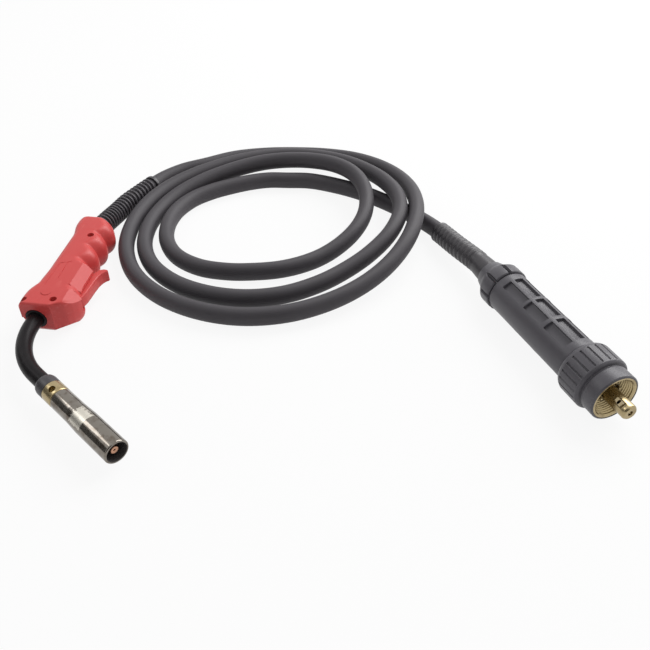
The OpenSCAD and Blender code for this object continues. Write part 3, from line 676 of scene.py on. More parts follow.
@dataclass(frozen=True)
class Torch:
    """Places and sizes that several pieces share."""

    mid: float = 17.0
    neck_x: float = -3.9
    neck_start: float = -87.0
    neck_r: float = 72.0
    neck_bend: float = 54.0
    plug_turn: float = 30.6
    plug_tilt: float = math.degrees(math.asin(3.6 / 116.1))
    plug_at: tuple[float, float] = (487.2, -114.3)
    nut_r: float = 24.8
    nut_touch: float = 38.0

    @property
    def neck_end(self) -> Vector:
        """The end of the neck's bend."""
        a = math.radians(self.neck_bend)
        across, along = 1 - math.cos(a), math.sin(a)
        return Vector(
            (self.neck_x + self.neck_r * across, self.neck_start - self.neck_r * along, self.mid)
        )

    @property
    def front(self) -> Matrix:
        """Frame of the neck's front, +Z forwards."""
        return shift(*self.neck_end) @ rotate(self.neck_bend - 90) @ rotate(90, "Y")

    @property
    def plug(self) -> Matrix:
        """Frame of the connector, +Z backwards from the nut's mouth and +Y up."""
        height = self.nut_r + self.nut_touch * math.sin(math.radians(self.plug_tilt)) + 0.05
        lean = rotate(90 + self.plug_tilt, "X")
        return shift(*self.plug_at, height) @ rotate(180 + self.plug_turn) @ lean

    def on_axis(self, s: float) -> Vector:
        """A point on the connector's axis, a distance behind the nut's mouth."""
        return self.plug @ Vector((0, 0, s))


TORCH = Torch()


def catmull(points: Sequence[Vector], u: float) -> Vector:
    """A point on the smooth curve through points, at a place counted in points."""
    last = len(points) - 1
    i = max(0, min(last - 1, int(math.floor(u))))
    t = u - i
    a, b, c, d = (points[max(0, min(last, i + k))] for k in (-1, 0, 1, 2))
    square, cube = 2 * a - 5 * b + 4 * c - d, 3 * b - a - 3 * c + d
    return 0.5 * (2 * b + (c - a) * t + square * t**2 + cube * t**3)


@dataclass
class CableRoute:
    """The cable's line from the handle through the coil to the connector."""

    centre: Point2 = (171, 121)
    start: float = 45
    rings: int = 24
    thickness: float = 17
    oval: float = 0.93
    radii: Sequence[float] = (
        142, 141, 150, 150, 151, 162, 162, 141, 123, 125, 127, 133, 122,
        136, 142, 124, 103, 101, 105, 96, 86, 94, 115, 106, 84, 81,
    )
    heights: Sequence[float] = (
        10, 10, 19.5, 29.6, 15, 9.5, 9.5, 12, 14.5, 17, 24, 29.2, 13.5,
        9.8, 9.5, 9.5, 17, 24.5, 29.6, 22, 10, 9.5, 9.5, 9.5, 9.5, 9.5,
    )
    lead: Sequence[tuple[float, float, float]] = (
        (-3.9, 24, 17), (-3.9, 41, 17), (-2.6, 55, 17), (0.7, 70, 17), (4, 86, 16.6),
        (7, 101, 15.8), (10, 121, 14.5), (15.5, 143, 12.5), (22, 164, 11), (32, 185, 10.3),
        (48.5, 205.5, 10),
    )
    tail: Sequence[tuple[float, float, float]] = (
        (196, 204.5, 9.4), (222, 200, 9.3), (251, 190.5, 9.3), (279, 176, 9.3), (304, 159.5, 9.3),
        (327, 140, 10), (345.5, 118, 12.3), (364, 90, 15.6),
    )
    tail_axis: Sequence[float] = (202.1, 180.6, 165, 140, 120)
    points: list[Vector] = field(default_factory=list)

    def __post_init__(self) -> None:
        """Lists the route's points."""
        low = self.thickness / 2 / self.oval + 0.05
        radii = [Vector((r, z, 0)) for r, z in zip(self.radii, self.heights)]
        count = self.rings * (len(radii) - 1) // 8
        self.points = [Vector(p) for p in self.lead]
        for i in range(count + 1):
            turn = i * 360 / self.rings
            at = catmull(radii, turn / 45)
            a = math.radians(self.start + turn)
            x, y = self.centre[0] - at.x * math.cos(a), self.centre[1] + at.x * math.sin(a)
            self.points.append(Vector((x, y, max(at.y, low))))
        self.coil_end = len(self.points) - 1
        self.points += [Vector(p) for p in self.tail] + [TORCH.on_axis(s) for s in self.tail_axis]

    def at(self, u: float) -> Vector:
        """The point at a place on the line."""
        return catmull(self.points, u)

    def frame(self, u: float) -> tuple[Vector, Vector, Vector]:
        """Heading, side and upward directions at a place on the line."""
        last = len(self.points) - 1
        heading = (self.at(min(u + 0.02, last)) - self.at(max(u - 0.02, 0))).normalized()
        side = heading.cross(Vector((0, 0, 1))).normalized()
        return heading, side, side.cross(heading)

    def ring(self, u: float, across: float, high: float, sides: int) -> list[Vector]:
        """A ring round the line."""
        _, side, up = self.frame(u)
        return hoop(self.at(u), across * side, high * up, sides)

    def matrix(self, u: float) -> Matrix:
        """Frame at a place on the line, +Z along it."""
        heading, side, up = self.frame(u)
        return Matrix.Translation(self.at(u)) @ Matrix((-side, up, heading)).transposed().to_4x4()

    def length(self, steps: int = 20) -> float:
        """The line's length in millimetres."""
        last = len(self.points) - 1
        line = [self.at(i / steps) for i in range(last * steps + 1)]
        return sum((b - a).length for a, b in zip(line, line[1:]))


ROUTE = CableRoute()


# ---------------------------------------------------------------- stage


@dataclass
class Studio:
    """Camera, lamps, world and floor."""

    eye: tuple[float, float, float] = (0.3227, -0.5488, 0.455)
    pitch: float = 49.0
    yaw: float = 8.2
    lens: float = 42.092
    floor_size: float = 6.0
    floor_at: tuple[float, float, float] = (0.25, 0.05, -0.0002)
    floor_glow: float = 0.9
    daylight: float = 0.42
    seeing: Sequence[str] = ("Is Camera Ray", "Is Glossy Ray", "Is Transmission Ray")

    def camera(self) -> None:
        """Places the camera."""
        data = bpy.data.cameras.new("camera")
        data.lens, data.sensor_width, data.sensor_height = self.lens, 36, 36
        data.clip_start = 0.01
        made = bpy.data.objects.new("camera", data)
        made.location = self.eye
        made.rotation_euler = (math.radians(self.pitch), 0, math.radians(self.yaw))
        bpy.context.scene.collection.objects.link(made)
        bpy.context.scene.camera = made

    def lamp(
        self, name: str, place: Sequence[float], aim: Sequence[float], size: Point2, watts: float
    ) -> None:
        """Places a soft rectangular lamp that faces a point."""
        data = bpy.data.lights.new(name, "AREA")
        data.shape, data.size, data.size_y = "RECTANGLE", *size
        data.energy = watts
        made = bpy.data.objects.new(name, data)
        made.location = place
        made.rotation_euler = (Vector(aim) - Vector(place)).to_track_quat("-Z", "Y").to_euler()
        bpy.context.scene.collection.objects.link(made)

    def world(self) -> None:
        """A plain pale surround; it shows white to the camera and in reflections."""
        world = bpy.data.worlds.new("surround")
        bpy.context.scene.world = world
        world.use_nodes = True
        tree = world.node_tree
        plain = tree.nodes["Background"]
        seen = tree.nodes.new("ShaderNodeBackground")
        for made, strength in ((plain, self.daylight), (seen, 1.0)):
            made.inputs["Color"].default_value = (1, 1, 1, 1)
            made.inputs["Strength"].default_value = strength
        path = tree.nodes.new("ShaderNodeLightPath")
        shown = path.outputs[self.seeing[0]]
        for ray in self.seeing[1:]:
            most = tree.nodes.new("ShaderNodeMath")
            most.operation = "MAXIMUM"
            tree.links.new(shown, most.inputs[0])
            tree.links.new(path.outputs[ray], most.inputs[1])
            shown = most.outputs[0]
        mix = tree.nodes.new("ShaderNodeMixShader")
        tree.links.new(shown, mix.inputs[0])
        tree.links.new(plain.outputs[0], mix.inputs[1])
        tree.links.new(seen.outputs[0], mix.inputs[2])
        tree.links.new(mix.outputs[0], tree.nodes["World Output"].inputs["Surface"])

    def board(self, name: str, shape: "Shape", paint: bpy.types.Material) -> bpy.types.Object:
        """Sets up a painted board of the stage; its shape is in metres."""
        mesh = bpy.data.meshes.new(name)
        shape.bm.to_mesh(mesh)
        shape.bm.free()
        mesh.materials.append(paint)
        made = bpy.data.objects.new(name, mesh)
        bpy.context.scene.collection.objects.link(made)
        return made

    def floor(self) -> None:
        """A white floor that keeps a light shadow."""
        shape = Shape()
        bmesh.ops.create_grid(shape.bm, x_segments=1, y_segments=1, size=self.floor_size / 2)
        self.board("floor", shape.move(shift(*self.floor_at)), self.floor_paint())

    def floor_paint(self) -> bpy.types.Material:
        """White, mostly shown as white to the camera and in reflections."""
        g = Graph("white_floor")
        g.set(Base_Color=(0.86, 0.86, 0.86, 1), Roughness=0.9, Specular_IOR_Level=0.0)
        path = g.tree.nodes.new("ShaderNodeLightPath")
        camera, glossy, through = (Value(g, path.outputs[ray]) for ray in self.seeing)
        shown = (camera + glossy + through).clamp()
        glow = g.tree.nodes.new("ShaderNodeEmission")
        glow.inputs["Strength"].default_value = 1.0
        mix = g.tree.nodes.new("ShaderNodeMixShader")
        g.put(mix.inputs[0], shown * self.floor_glow)
        g.tree.links.new(g.shader.outputs[0], mix.inputs[1])
        g.tree.links.new(glow.outputs[0], mix.inputs[2])
        g.tree.links.new(mix.outputs[0], g.tree.nodes["Material Output"].inputs["Surface"])
        return g.material

    def dark_card(self, name: str, low: Sequence[float], high: Sequence[float], shade: float) -> None:
        """A dark board outside the view that shows only in reflections."""
        g = Graph(name)
        g.set(Base_Color=(shade, shade, shade, 1), Roughness=1.0, Specular_IOR_Level=0.0)
        made = self.board(name, Shape().block(low, high), g.material)
        made.visible_camera = made.visible_shadow = made.visible_diffuse = False

    def build(self) -> None:
        """Builds the stage."""
        bpy.context.scene.view_settings.view_transform = "Standard"
        self.camera()
        self.world()
        self.floor()
        self.lamp("sky_light", (0.85, 1.15, 1.30), (0.25, 0.05, 0), (1.3, 1.1), 25)
        self.lamp("side_light", (1.75, 1.25, 0.80), (0.1, 0.0, 0), (0.7, 0.7), 10)
        self.lamp("strip_light", (-0.89, 0.05, 1.09), (0.1, -0.2, 0), (0.50, 0.34), 1.8)
        self.dark_card("dark_left", (-1.02, -0.75, 0.0), (-1.0, 0.35, 0.78), 0.22)
        self.dark_card("dark_front", (-0.9, -1.45, 0.15), (1.6, -1.4, 1.9), 0.2)


# ---------------------------------------------------------------- cable


@dataclass
class Cable:
    """The jacketed cable with its support spring, collar and boot."""

    sides: int = 28
    per_point: int = 8
    oval_from: float = 8
    thin: float = 0.86
    thin_to: float = 0.95
    spring_sides: int = 10
    spring_steps: int = 36
    spring_curls: int = 22
    spring_d: float = 21.4
    wire_d: float = 1.8
    spring_from: float = 2.25
    spring_to: float = 8
    collar_len: float = 6
    boot_ribs: int = 11
    boot_span: Point2 = (7.06, 9.0)
    boot_sides: int = 48
    boot_r: float = 10.9
    boot_groove_r: float = 9.7
    boot_bore_r: float = 9.3
    boot_bore: Sequence[float] = (200.5, 190, 180.6, 170, 161.2)
    boot_bends: int = 24
    boot_neck: Sequence[Point2] = (
        (200.5, 10.4), (197, 10.8), (192, 11.2), (186, 11.6), (180.6, 11.9), (161.2, 11.9),
    )
    rib: Sequence[float] = (0, 0, 0.1, 0.8, 1, 0.8, 0.1, 0)

    def jacket(self) -> bpy.types.Object:
        """The cable itself, round at its ends, pressed oval in the coil, thin in the handle."""
        last = len(ROUTE.points) - 1
        stations = [i / self.per_point for i in range(last * self.per_point + 1)]
        rings = []
        for u in stations:
            k, o = clamp(u - self.oval_from), ROUTE.oval
            full = clamp((u - self.thin_to) * 3)
            r = ROUTE.thickness / 2 * (self.thin + (1 - self.thin) * full)
            rings.append(ROUTE.ring(u, r * (1 - k * (1 - o)), r * (1 - k + k / o), self.sides))
        nodes = ("cable_torch_lead", "cable_coil", "cable_plug_lead")
        return Piece(
            "cable", Shape().skin(rings), Slot.JACKET, replaces=nodes, smooth=60,
            jacket=(len(stations), self.sides),
        ).make()

    def spring(self) -> bpy.types.Object:
        """The support spring, wound along the cable."""
        r, wire = (self.spring_d - self.wire_d) / 2, self.wire_d / 2
        count = self.spring_curls * self.spring_steps
        span = self.spring_to - self.spring_from
        places, outs = [], []
        for i in range(count + 1):
            u = self.spring_from + span * i / count
            a = 2 * math.pi * i / self.spring_steps
            _, side, up = ROUTE.frame(u)
            outs.append(math.cos(a) * side + math.sin(a) * up)
            places.append(ROUTE.at(u) + r * outs[-1])
        rings = []
        for i, place in enumerate(places):
            t = (places[min(count, i + 1)] - places[max(0, i - 1)]).normalized()
            across = t.cross(outs[i]).normalized()
            rings.append(hoop(place, wire * across.cross(t), wire * across, self.spring_sides))
        return Piece(
            "support_spring", Shape().skin(rings), Slot.SPRING, replaces=("cable_support_spring",)
        ).make()

    def collar(self) -> bpy.types.Object:
        """The short collar at the spring's end, with a wrapped edge."""
        r, inner, long = self.spring_d / 2, ROUTE.thickness / 2 + 0.1, self.collar_len
        profile = [
            (inner, 0), (r, 0), (r, long - 2.2), (r - 0.9, long - 1.6), (r - 1.3, long),
            (inner, long),
        ]
        shape = Shape().spin(soften(profile, 0.5), 48)
        shape.move(ROUTE.matrix(self.spring_to) @ shift(0, 0, self.wire_d / 2 + 0.3))
        return Piece("spring_collar", shape, Slot.RUBBER, replaces=("spring_end_collar",)).make()

    def boot(self) -> bpy.types.Object:
        """The ribbed boot that follows the cable behind the connector."""
        rear, front = (ROUTE.coil_end + u for u in self.boot_span)
        sides, inner, depth = self.boot_sides, self.boot_bore_r, self.boot_r - self.boot_groove_r
        steps = self.boot_ribs * len(self.rib)
        _, side, up = ROUTE.frame(ROUTE.coil_end + 10)
        skin, bore = [], []
        for i in range(steps + 1):
            r = self.boot_r - depth * self.rib[i % len(self.rib)]
            skin.append(ROUTE.ring(rear + (front - rear) * i / steps, r, r, sides))
        for s, r in self.boot_neck:
            skin.append(hoop(TORCH.on_axis(s), r * side, r * up, sides))
        for i in range(self.boot_bends + 1):
            u = rear + (front - rear) * i / self.boot_bends
            bore.append(ROUTE.ring(u, inner, inner, sides))
        for s in self.boot_bore:
            bore.append(hoop(TORCH.on_axis(s), inner * side, inner * up, sides))
        shape = Shape().skin([*reversed(skin), *bore], looped=True)
        return Piece(
            "cable_boot_rubber", shape, Slot.RUBBER, replaces=("cable_boot",), smooth=50
        ).make()

    def build(self) -> list[bpy.types.Object]:
        """Builds the cable and what is on it."""
        return [self.jacket(), self.spring(), self.collar(), self.boot()]


# ---------------------------------------------------------------- handle


@dataclass
class Handle:
    """The red handle: two mouldings, trigger, screws and the neck's collar."""

    nose: float = 78
    rear: float = 65
    side: float = 26
    back_r: float = 7
    back: float = -12.3
    swell: float = 3.8
    swell_span: Point2 = (30, 52)
    groove: float = 4.8
    pitch: float = 21.75
    groove_width: float = 0.012
    finger_tip: float = 6
    finger_from: float = -11.4
    finger_to: float = 57
    low_power: float = 2.8
    soft_spans: Sequence[Point2] = ((-54.5, -44.0), (-15.5, 0.0))
    soft_drop: float = 5
    facet_span: Point2 = (-48, -13)
    front_facet_span: Point2 = (-70.5, -52)
    facet_cut: float = 8
    front_facet_cut: float = 5.5
    screws: Sequence[Point2] = ((7.5, 31), (12, -69), (-14.6, -72))
    slants: Sequence[tuple[Sequence[float], Sequence[float]]] = (
        ((0, -78, 5), (0, -0.643, -0.766)), ((0, -78, 6.6), (0, -0.866, -0.5)),
        ((0, -72.6, 0.4), (0, -0.342, -0.94)), ((9, -71, 0), (0.413, -0.47, -0.78)),
        ((-18.9, -70, 8), (-0.72, -0.62, -0.31)),
    )
    bores: Sequence[tuple[float, float, float, float, int]] = (
        (7.3, -90, -36, -3.9, 48), (9.9, -90, -74.4, -3.9, 48), (8.2, 12, 40, -3.3, 48),
        (9.4, 38, 60, -3.3, 48), (11.7, 57.2, 80, -0.9, 64),
    )
    hollow: float = 6.4
    hollows: Sequence[tuple[Point2, Point2]] = (((4.4, -50), (20, -14.2)), ((17.8, -62), (24.8, -50)))
    opening: Sequence[Point2] = (
        (16.5, -55.5), (40, -55.5), (40, -11), (21.6, -11), (21.6, -12.4), (16.5, -12.4),
    )
    mouldings: Sequence[tuple[str, str, float, float]] = (
        ("upper_moulding", "handle_shell_left", 17.03, 60),
        ("lower_moulding", "handle_shell_right", -20, 16.97),
    )
    line_floor: float = 33.75
    mark_at: Point2 = (1.7, -60.7)
    mark_r: float = 4.6
    mark_floor: float = 33.4
    mark_w: float = 1.0
    line_places: Sequence[Sequence[Point2]] = (
        ((-3.9, -49.7), (-3.3, -17.5), (1.6, -15.2)), ((4.1, -39.6), (3.4, -14.9), (6.5, -12.9)),
    )
    lip_places: Sequence[float] = (-77.6, -77.2, -76.9)
    nose_rows: Sequence[tuple[float, ...]] = (
        (-78, -17, 12, 8, 5), (-76.5, -18.3, 14, 10, 5), (-72, -18.7, 22, 14, 5),
        (-66, -18.9, 26.5, 18, 5), (-58, -18.2, 29.6, 20, 6), (-52, -16.2, 30, 20.5, 7),
        (-46, -13.8, 26.8, 18.5, 7), (-38, -13.2, 26, 17.5, 7), (-25, -12.3, 26, 17.5, 7),
        (-13, -12.3, 26, 17.5, 7),
    )
    rear_rows: Sequence[tuple[float, ...]] = (
        (61, -15.3, 17.8, 4, 2), (63.2, -13.8, 15.2, 3, 2), (64.5, -12.2, 12.8, 2, 2),
        (65, -10.8, 11.2, 1, 2),
    )
    nose_steps: int = 126
    finger_steps: int = 114
    arc_steps: int = 48
    corner_steps: int = 10

    def back_edge(self, y: float) -> float:
        """The back edge's place along the grip."""
        low, high = self.swell_span
        return self.back - self.swell * math.sin(math.pi / 2 * clamp((y - low) / (high - low))) ** 2

    def rows(self) -> list[tuple[float, ...]]:
        """All sections: place, back edge, trigger-side edge, end of the flat and squareness.

        The nose's sections end with the flat and the squareness of the lower half.
        """
        nose = [Vector(r[1:]) for r in self.nose_rows]
        starts = [float(r[0]) for r in self.nose_rows]
        places = {*self.lip_places, *starts, *(-76 + 0.5 * k for k in range(self.nose_steps))}
        fine = []
        for y in sorted(places):
            i = max(k for k, start in enumerate(starts[:-1]) if start <= y)
            span = starts[i + 1] - starts[i]
            row = catmull(nose, i + min(1.0, (y - starts[i]) / span))
            fine.append(self.softer(y, *row[:4]))
        fingers = []
        for i in range(self.finger_steps + 1):
            y = self.finger_from + (self.finger_to - self.finger_from) * i / self.finger_steps
            wave = self.knob(y)
            front, flat = 20 + self.groove / 2 * wave, 7 + 0.4 * self.groove * wave
            fingers.append((y, self.back_edge(y), front, flat, 2 + 0.2 * wave))
        joins = [fingers[-1], *self.rear_rows]
        ends = []
        for a, b in zip(joins, joins[1:]):
            ends += [tuple(p + (q - p) * k / 4 for p, q in zip(a, b)) for k in range(1, 5)]
        return fine + fingers + ends

    def knob(self, y: float) -> float:
        """The finger knobs, from -1 in a groove to 1 on a knob, with narrow grooves."""
        turn = abs(math.cos(math.pi * (y - self.finger_tip) / self.pitch))
        return 2 * (math.sqrt(turn**2 + self.groove_width) - 0.11) / 0.896 - 1

    def softer(
        self, y: float, back: float, front: float, flat: float, power: float
    ) -> tuple[float, ...]:
        """A section of the nose; between the flat facets the corner is lower and rounder."""
        under = (flat, min(power, self.low_power))
        for low, high in self.soft_spans:
            inside = clamp((y - low) / 1.5) * clamp((high - y) / 3.0)
            inside = inside * inside * (3 - 2 * inside)
            flat, power = flat - self.soft_drop * inside, power + (2.0 - power) * inside
        return (y, back, front, flat, power, *under)

    def section(self, row: tuple[float, ...], drop: float) -> list[Vector]:
        """One section as a ring."""
        y, back, front = row[:3]
        upper, lower = row[3:5], row[5:] or (row[3], min(row[4], self.low_power))
        high = TORCH.mid - drop
        r = min(self.back_r, high)
        out = []
        for i in range(self.arc_steps + 1):
            a = math.radians(-90 + 180 * i / self.arc_steps)
            c, s = max(0.0, math.cos(a)), math.sin(a)
            flat, power = upper if s >= 0 else lower
            reach = (c**power + abs(s) ** power) ** (-1 / power)
            out.append(Vector((flat + (front - flat) * c * reach, y, high * s * reach + TORCH.mid)))
        for start, height in ((90, high - r), (180, r - high)):
            for i in range(self.corner_steps + 1):
                a = math.radians(start + 90 * i / self.corner_steps)
                x, z = back + r + r * math.cos(a), height + r * math.sin(a) + TORCH.mid
                out.append(Vector((x, y, z)))
        return out

    def drop(self, y: float) -> float:
        """How far the ends are rounded over."""
        if y < 2 - self.nose:
            return 1.4 * (1 - (y + self.nose) / 2) ** 2
        if y > self.rear - 4:
            return 2.4 * ((y - self.rear + 4) / 4) ** 2
        return 0.0

    def beyond(self, place: Point2, lean: float, low: float, high: float, flip: int = 1) -> Shape:
        """A block beyond a plane along the grip.

        Args:
            place: A point of the plane, across and above the middle.
            lean: Degrees from sideways to up of the plane's normal.
            low: Start along the grip.
            high: End along the grip.
            flip: -1 for below the middle.

        Returns:
            The block.
        """
        block = Shape().block((0, low, -60), (60, high, 60))
        mirror = shift(0, 0, TORCH.mid) @ Matrix.Diagonal((1, 1, flip, 1))
        block.move(mirror @ shift(place[0], 0, place[1]) @ rotate(-lean, "Y"))
        return block.outward()

    def facets(self) -> list[Shape]:
        """Cutters of the flat facets along the trigger's side."""
        corner = self.side + TORCH.mid
        reach, front = (corner - self.facet_cut) / 2, (corner - self.front_facet_cut) / 2
        made = [self.beyond((reach, reach), 45, *self.facet_span, flip) for flip in (1, -1)]
        return [*made, self.beyond((front, front), 45, *self.front_facet_span)]

    def slopes(self, *planes: tuple[Sequence[float], Sequence[float]]) -> list[Shape]:
        """Cutters beyond planes, each given by a place on it and its outward normal."""
        made = []
        for place, normal in planes:
            block = Shape().block((-80, -80, 0), (80, 80, 60))
            turn = Vector(normal).to_track_quat("Z", "Y").to_matrix().to_4x4()
            made.append(block.move(shift(*place) @ turn))
        return made

    def lines(self) -> list[Shape]:
        """Two fine lines moulded into the upper side."""
        made = []
        for points in self.line_places:
            for (x0, y0), (x1, y1) in zip(points, points[1:]):
                length = math.hypot(x1 - x0, y1 - y0)
                bar = Shape().block((-0.2, -0.3, self.line_floor), (length + 0.2, 0.3, 36))
                turn = Matrix.Rotation(math.atan2(y1 - y0, x1 - x0), 4, "Z")
                made.append(bar.move(shift(x0, y0, 0) @ turn))
        return made

    def cutters(self) -> list[Shape]:
        """Everything that is cut out of the handle."""
        mid, cuts = TORCH.mid, self.facets()
        for radius, low, high, across, sides in self.bores:
            rod = Shape().rod(radius, low, high, sides)
            cuts.append(rod.move(shift(across, 0, mid) @ rotate(-90, "X")))
        for (x0, y0), (x1, y1) in self.hollows:
            cuts.append(Shape().block((x0, y0, mid - self.hollow), (x1, y1, mid + self.hollow)))
        cuts.append(Shape().prism(self.opening, mid - 6.47, mid + 6.53))
        for x, y in self.screws:
            cuts.append(Shape().rod(3.25, 27, 40, 32).move(shift(x, y, 0)))
            cuts.append(Shape().rod(1.9, 12, 40, 24).move(shift(x, y, 0)))
        return cuts

    def crescent(self) -> Shape:
        """The shallow curved mark on the upper side."""
        (x, y), r = self.mark_at, self.mark_r
        ring = Shape().rod(r, self.mark_floor, 36, 64).move(shift(x, y, 0))
        return ring.cut(Shape().rod(r, 30, 40, 64).move(shift(x, y + self.mark_w, 0)))

    def shells(self) -> list[bpy.types.Object]:
        """The two mouldings."""
        made = []
        for name, node, low, high in self.mouldings:
            rows = self.rows()
            body = Shape().skin([self.section(r, self.drop(r[0])) for r in rows])
            body.cut(*self.cutters())
            if high > 30:
                body.cut(self.crescent(), *self.lines())
            else:
                body.cut(*self.slopes(*self.slants))
            body.keep(Shape().block((-60, -120, low), (80, 120, high)))
            made.append(Piece(name, body, Slot.RED, replaces=(node,), smooth=28).make())
        return made

    def trigger(self) -> bpy.types.Object:
        """The trigger, with rounded edges."""
        outline = [
            (18.5, -52), (18.5, -59.5), (19.8, -61.4), (22.4, -61.4), (23.8, -59.6), (24, -57),
            (24, -55), (26, -53.6), (28.4, -50.4), (29.9, -44), (30.5, -36), (30.9, -28),
            (31.7, -20), (33.4, -14.4), (35.4, -11.2), (37.3, -9.6), (37.6, -8.2), (36.6, -6.9),
            (33, -6.6), (29.5, -8.2), (27.2, -11), (26.4, -14), (19.5, -14), (18.5, -15),
        ]
        shape = Shape().prism(soften(outline, 1.2), TORCH.mid - 6, TORCH.mid + 6)
        shape.bevel(1.1, 60, 4)
        return Piece("trigger_lever", shape, Slot.RED, Body.TRIGGER, ("trigger",)).make()

    def screw_heads(self) -> bpy.types.Object:
        """Socket screws in their counterbores."""
        whole = Shape()
        profile = [(0, 12), (1.7, 12), (1.7, 27), (2.95, 27), (2.95, 29.4), (0, 29.4)]
        for x, y in self.screws:
            head = Shape().spin(soften(profile, 0.3, closed=False), 32)
            head.cut(Shape().rod(1.5, 28, 31, 6))
            whole.add(head.move(shift(x, y, 0)))
        return Piece("handle_screw_heads", whole, Slot.STEEL, replaces=("handle_screws",)).make()

    def collar(self) -> bpy.types.Object:
        """The rubber ring where the neck leaves the nose."""
        profile = [(7.05, 0.3), (9.6, 0.3), (9.6, 3.9), (8.9, 4.8), (7.05, 4.8)]
        shape = Shape().spin(soften(profile, 0.4), 64)
        shape.move(shift(TORCH.neck_x, -self.nose + 3.6, TORCH.mid) @ rotate(90, "X"))
        return Piece(
            "nose_collar", shape, Slot.RUBBER, replaces=("neck_collar",), look=NECK_BLACK
        ).make()

    def build(self) -> list[bpy.types.Object]:
        """Builds the handle."""
        return [*self.shells(), self.trigger(), self.screw_heads(), self.collar()]


# ---------------------------------------------------------------- neck and nozzle


@dataclass
class FrontEnd:
    """The neck, the tip holder, the contact tip and the gas nozzle."""

    sleeve_r: float = 7.0
    holder_r: float = 9.7
    seat_r: float = 7.7
    hole_turns: Sequence[float] = (195, 315, 435)
    hole_r: float = 3.0
    holes_at: float = 33.3
    sides: int = 40
    bend_steps: int = 36

    def neck(self) -> bpy.types.Object:
        """The insulated neck, straight, bent and straight again."""
        r, up = self.sleeve_r, Vector((0, 0, 1))
        straight = [Vector((TORCH.neck_x, y, TORCH.mid)) for y in (-60, -70, -80, -86)]
        rings = [hoop(here, Vector((-r, 0, 0)), r * up, self.sides) for here in straight]
        centre = Vector((TORCH.neck_x + TORCH.neck_r, TORCH.neck_start, TORCH.mid))
        for i in range(self.bend_steps + 1):
            b = math.radians(180 + TORCH.neck_bend * i / self.bend_steps)
            out = Vector((math.cos(b), math.sin(b), 0))
            rings.append(hoop(centre + TORCH.neck_r * out, r * out, r * up, self.sides))
        heading, bent = TORCH.front.to_3x3() @ up, rings[-1]
        rings += [[p + heading * t for p in bent] for t in (6, 12, 16.9)]
        return Piece(
            "neck_sleeve", Shape().skin(rings), Slot.RUBBER, replaces=("neck_insulation",),
            smooth=50, look=NECK_BLACK,
        ).make()

    def insulator(self) -> bpy.types.Object:
        """The black ring at the neck's front."""
        r = self.holder_r
        profile = [
            (7.02, 14), (r - 1.7, 14.1), (r - 0.6, 15), (r, 17.2), (r, 25.9), (5.1, 25.9),
            (5.1, 17.2), (7.02, 17.2),
        ]
        shape = Shape().spin(soften(profile, 0.4), 72).move(TORCH.front)
        return Piece(
            "front_insulator_ring", shape, Slot.RUBBER, replaces=("front_insulator",)
        ).make()

    def holder(self) -> bpy.types.Object:
        """The brass tip holder with its gas holes."""
        r, s = self.holder_r, self.seat_r
        profile = [
            (0, 26), (r - 0.2, 26), (r, 26.3), (r, 38.2), (r - 0.5, 39), (s, 39), (s, 65),
            (5.5, 67), (5.5, 75), (0, 75),
        ]
        shape = Shape().spin(soften(profile, 0.25, 2, False), 72)
        shape.cut(Shape().rod(2.6, 30, 80, 24))
        for a in self.hole_turns:
            hole = Shape().rod(self.hole_r, 4, 14, 32)
            shape.cut(hole.move(rotate(a) @ shift(0, 0, self.holes_at) @ rotate(90, "Y")))
        shape.move(TORCH.front)
        return Piece("brass_tip_holder", shape, Slot.BRASS, replaces=("tip_holder",)).make()

    def tip(self) -> bpy.types.Object:
        """The copper contact tip."""
        profile = [
            (0.7, 68), (3.15, 68), (3.15, 75), (4, 75), (4, 110), (3.1, 113), (1.1, 113),
            (0.7, 112.4),
        ]
        shape = Shape().spin(soften(profile, 0.25, 2), 48).move(TORCH.front)
        return Piece("copper_contact_tip", shape, Slot.COPPER, replaces=("contact_tip",)).make()

    def nozzle(self) -> bpy.types.Object:
        """The plated gas nozzle, stepped, with a turned rim."""
        inner = self.seat_r + 0.06
        profile = [
            (inner, 39.1), (9.3, 39.1), (9.7, 39.5), (9.7, 60), (10.5, 75), (10.5, 115.2),
            (9.9, 116), (8.6, 116), (8.6, 68), (8.1, 66), (8.1, 50), (inner, 49),
        ]
        shape = Shape().spin(soften(profile, 0.35), 96).move(TORCH.front)
        return Piece(
            "plated_gas_nozzle", shape, Slot.NICKEL, Body.NOZZLE, ("gas_nozzle",), 30
        ).make()

    def build(self) -> list[bpy.types.Object]:
        """Builds the front end."""
        return [self.neck(), self.insulator(), self.holder(), self.tip(), self.nozzle()]


# ---------------------------------------------------------------- connector


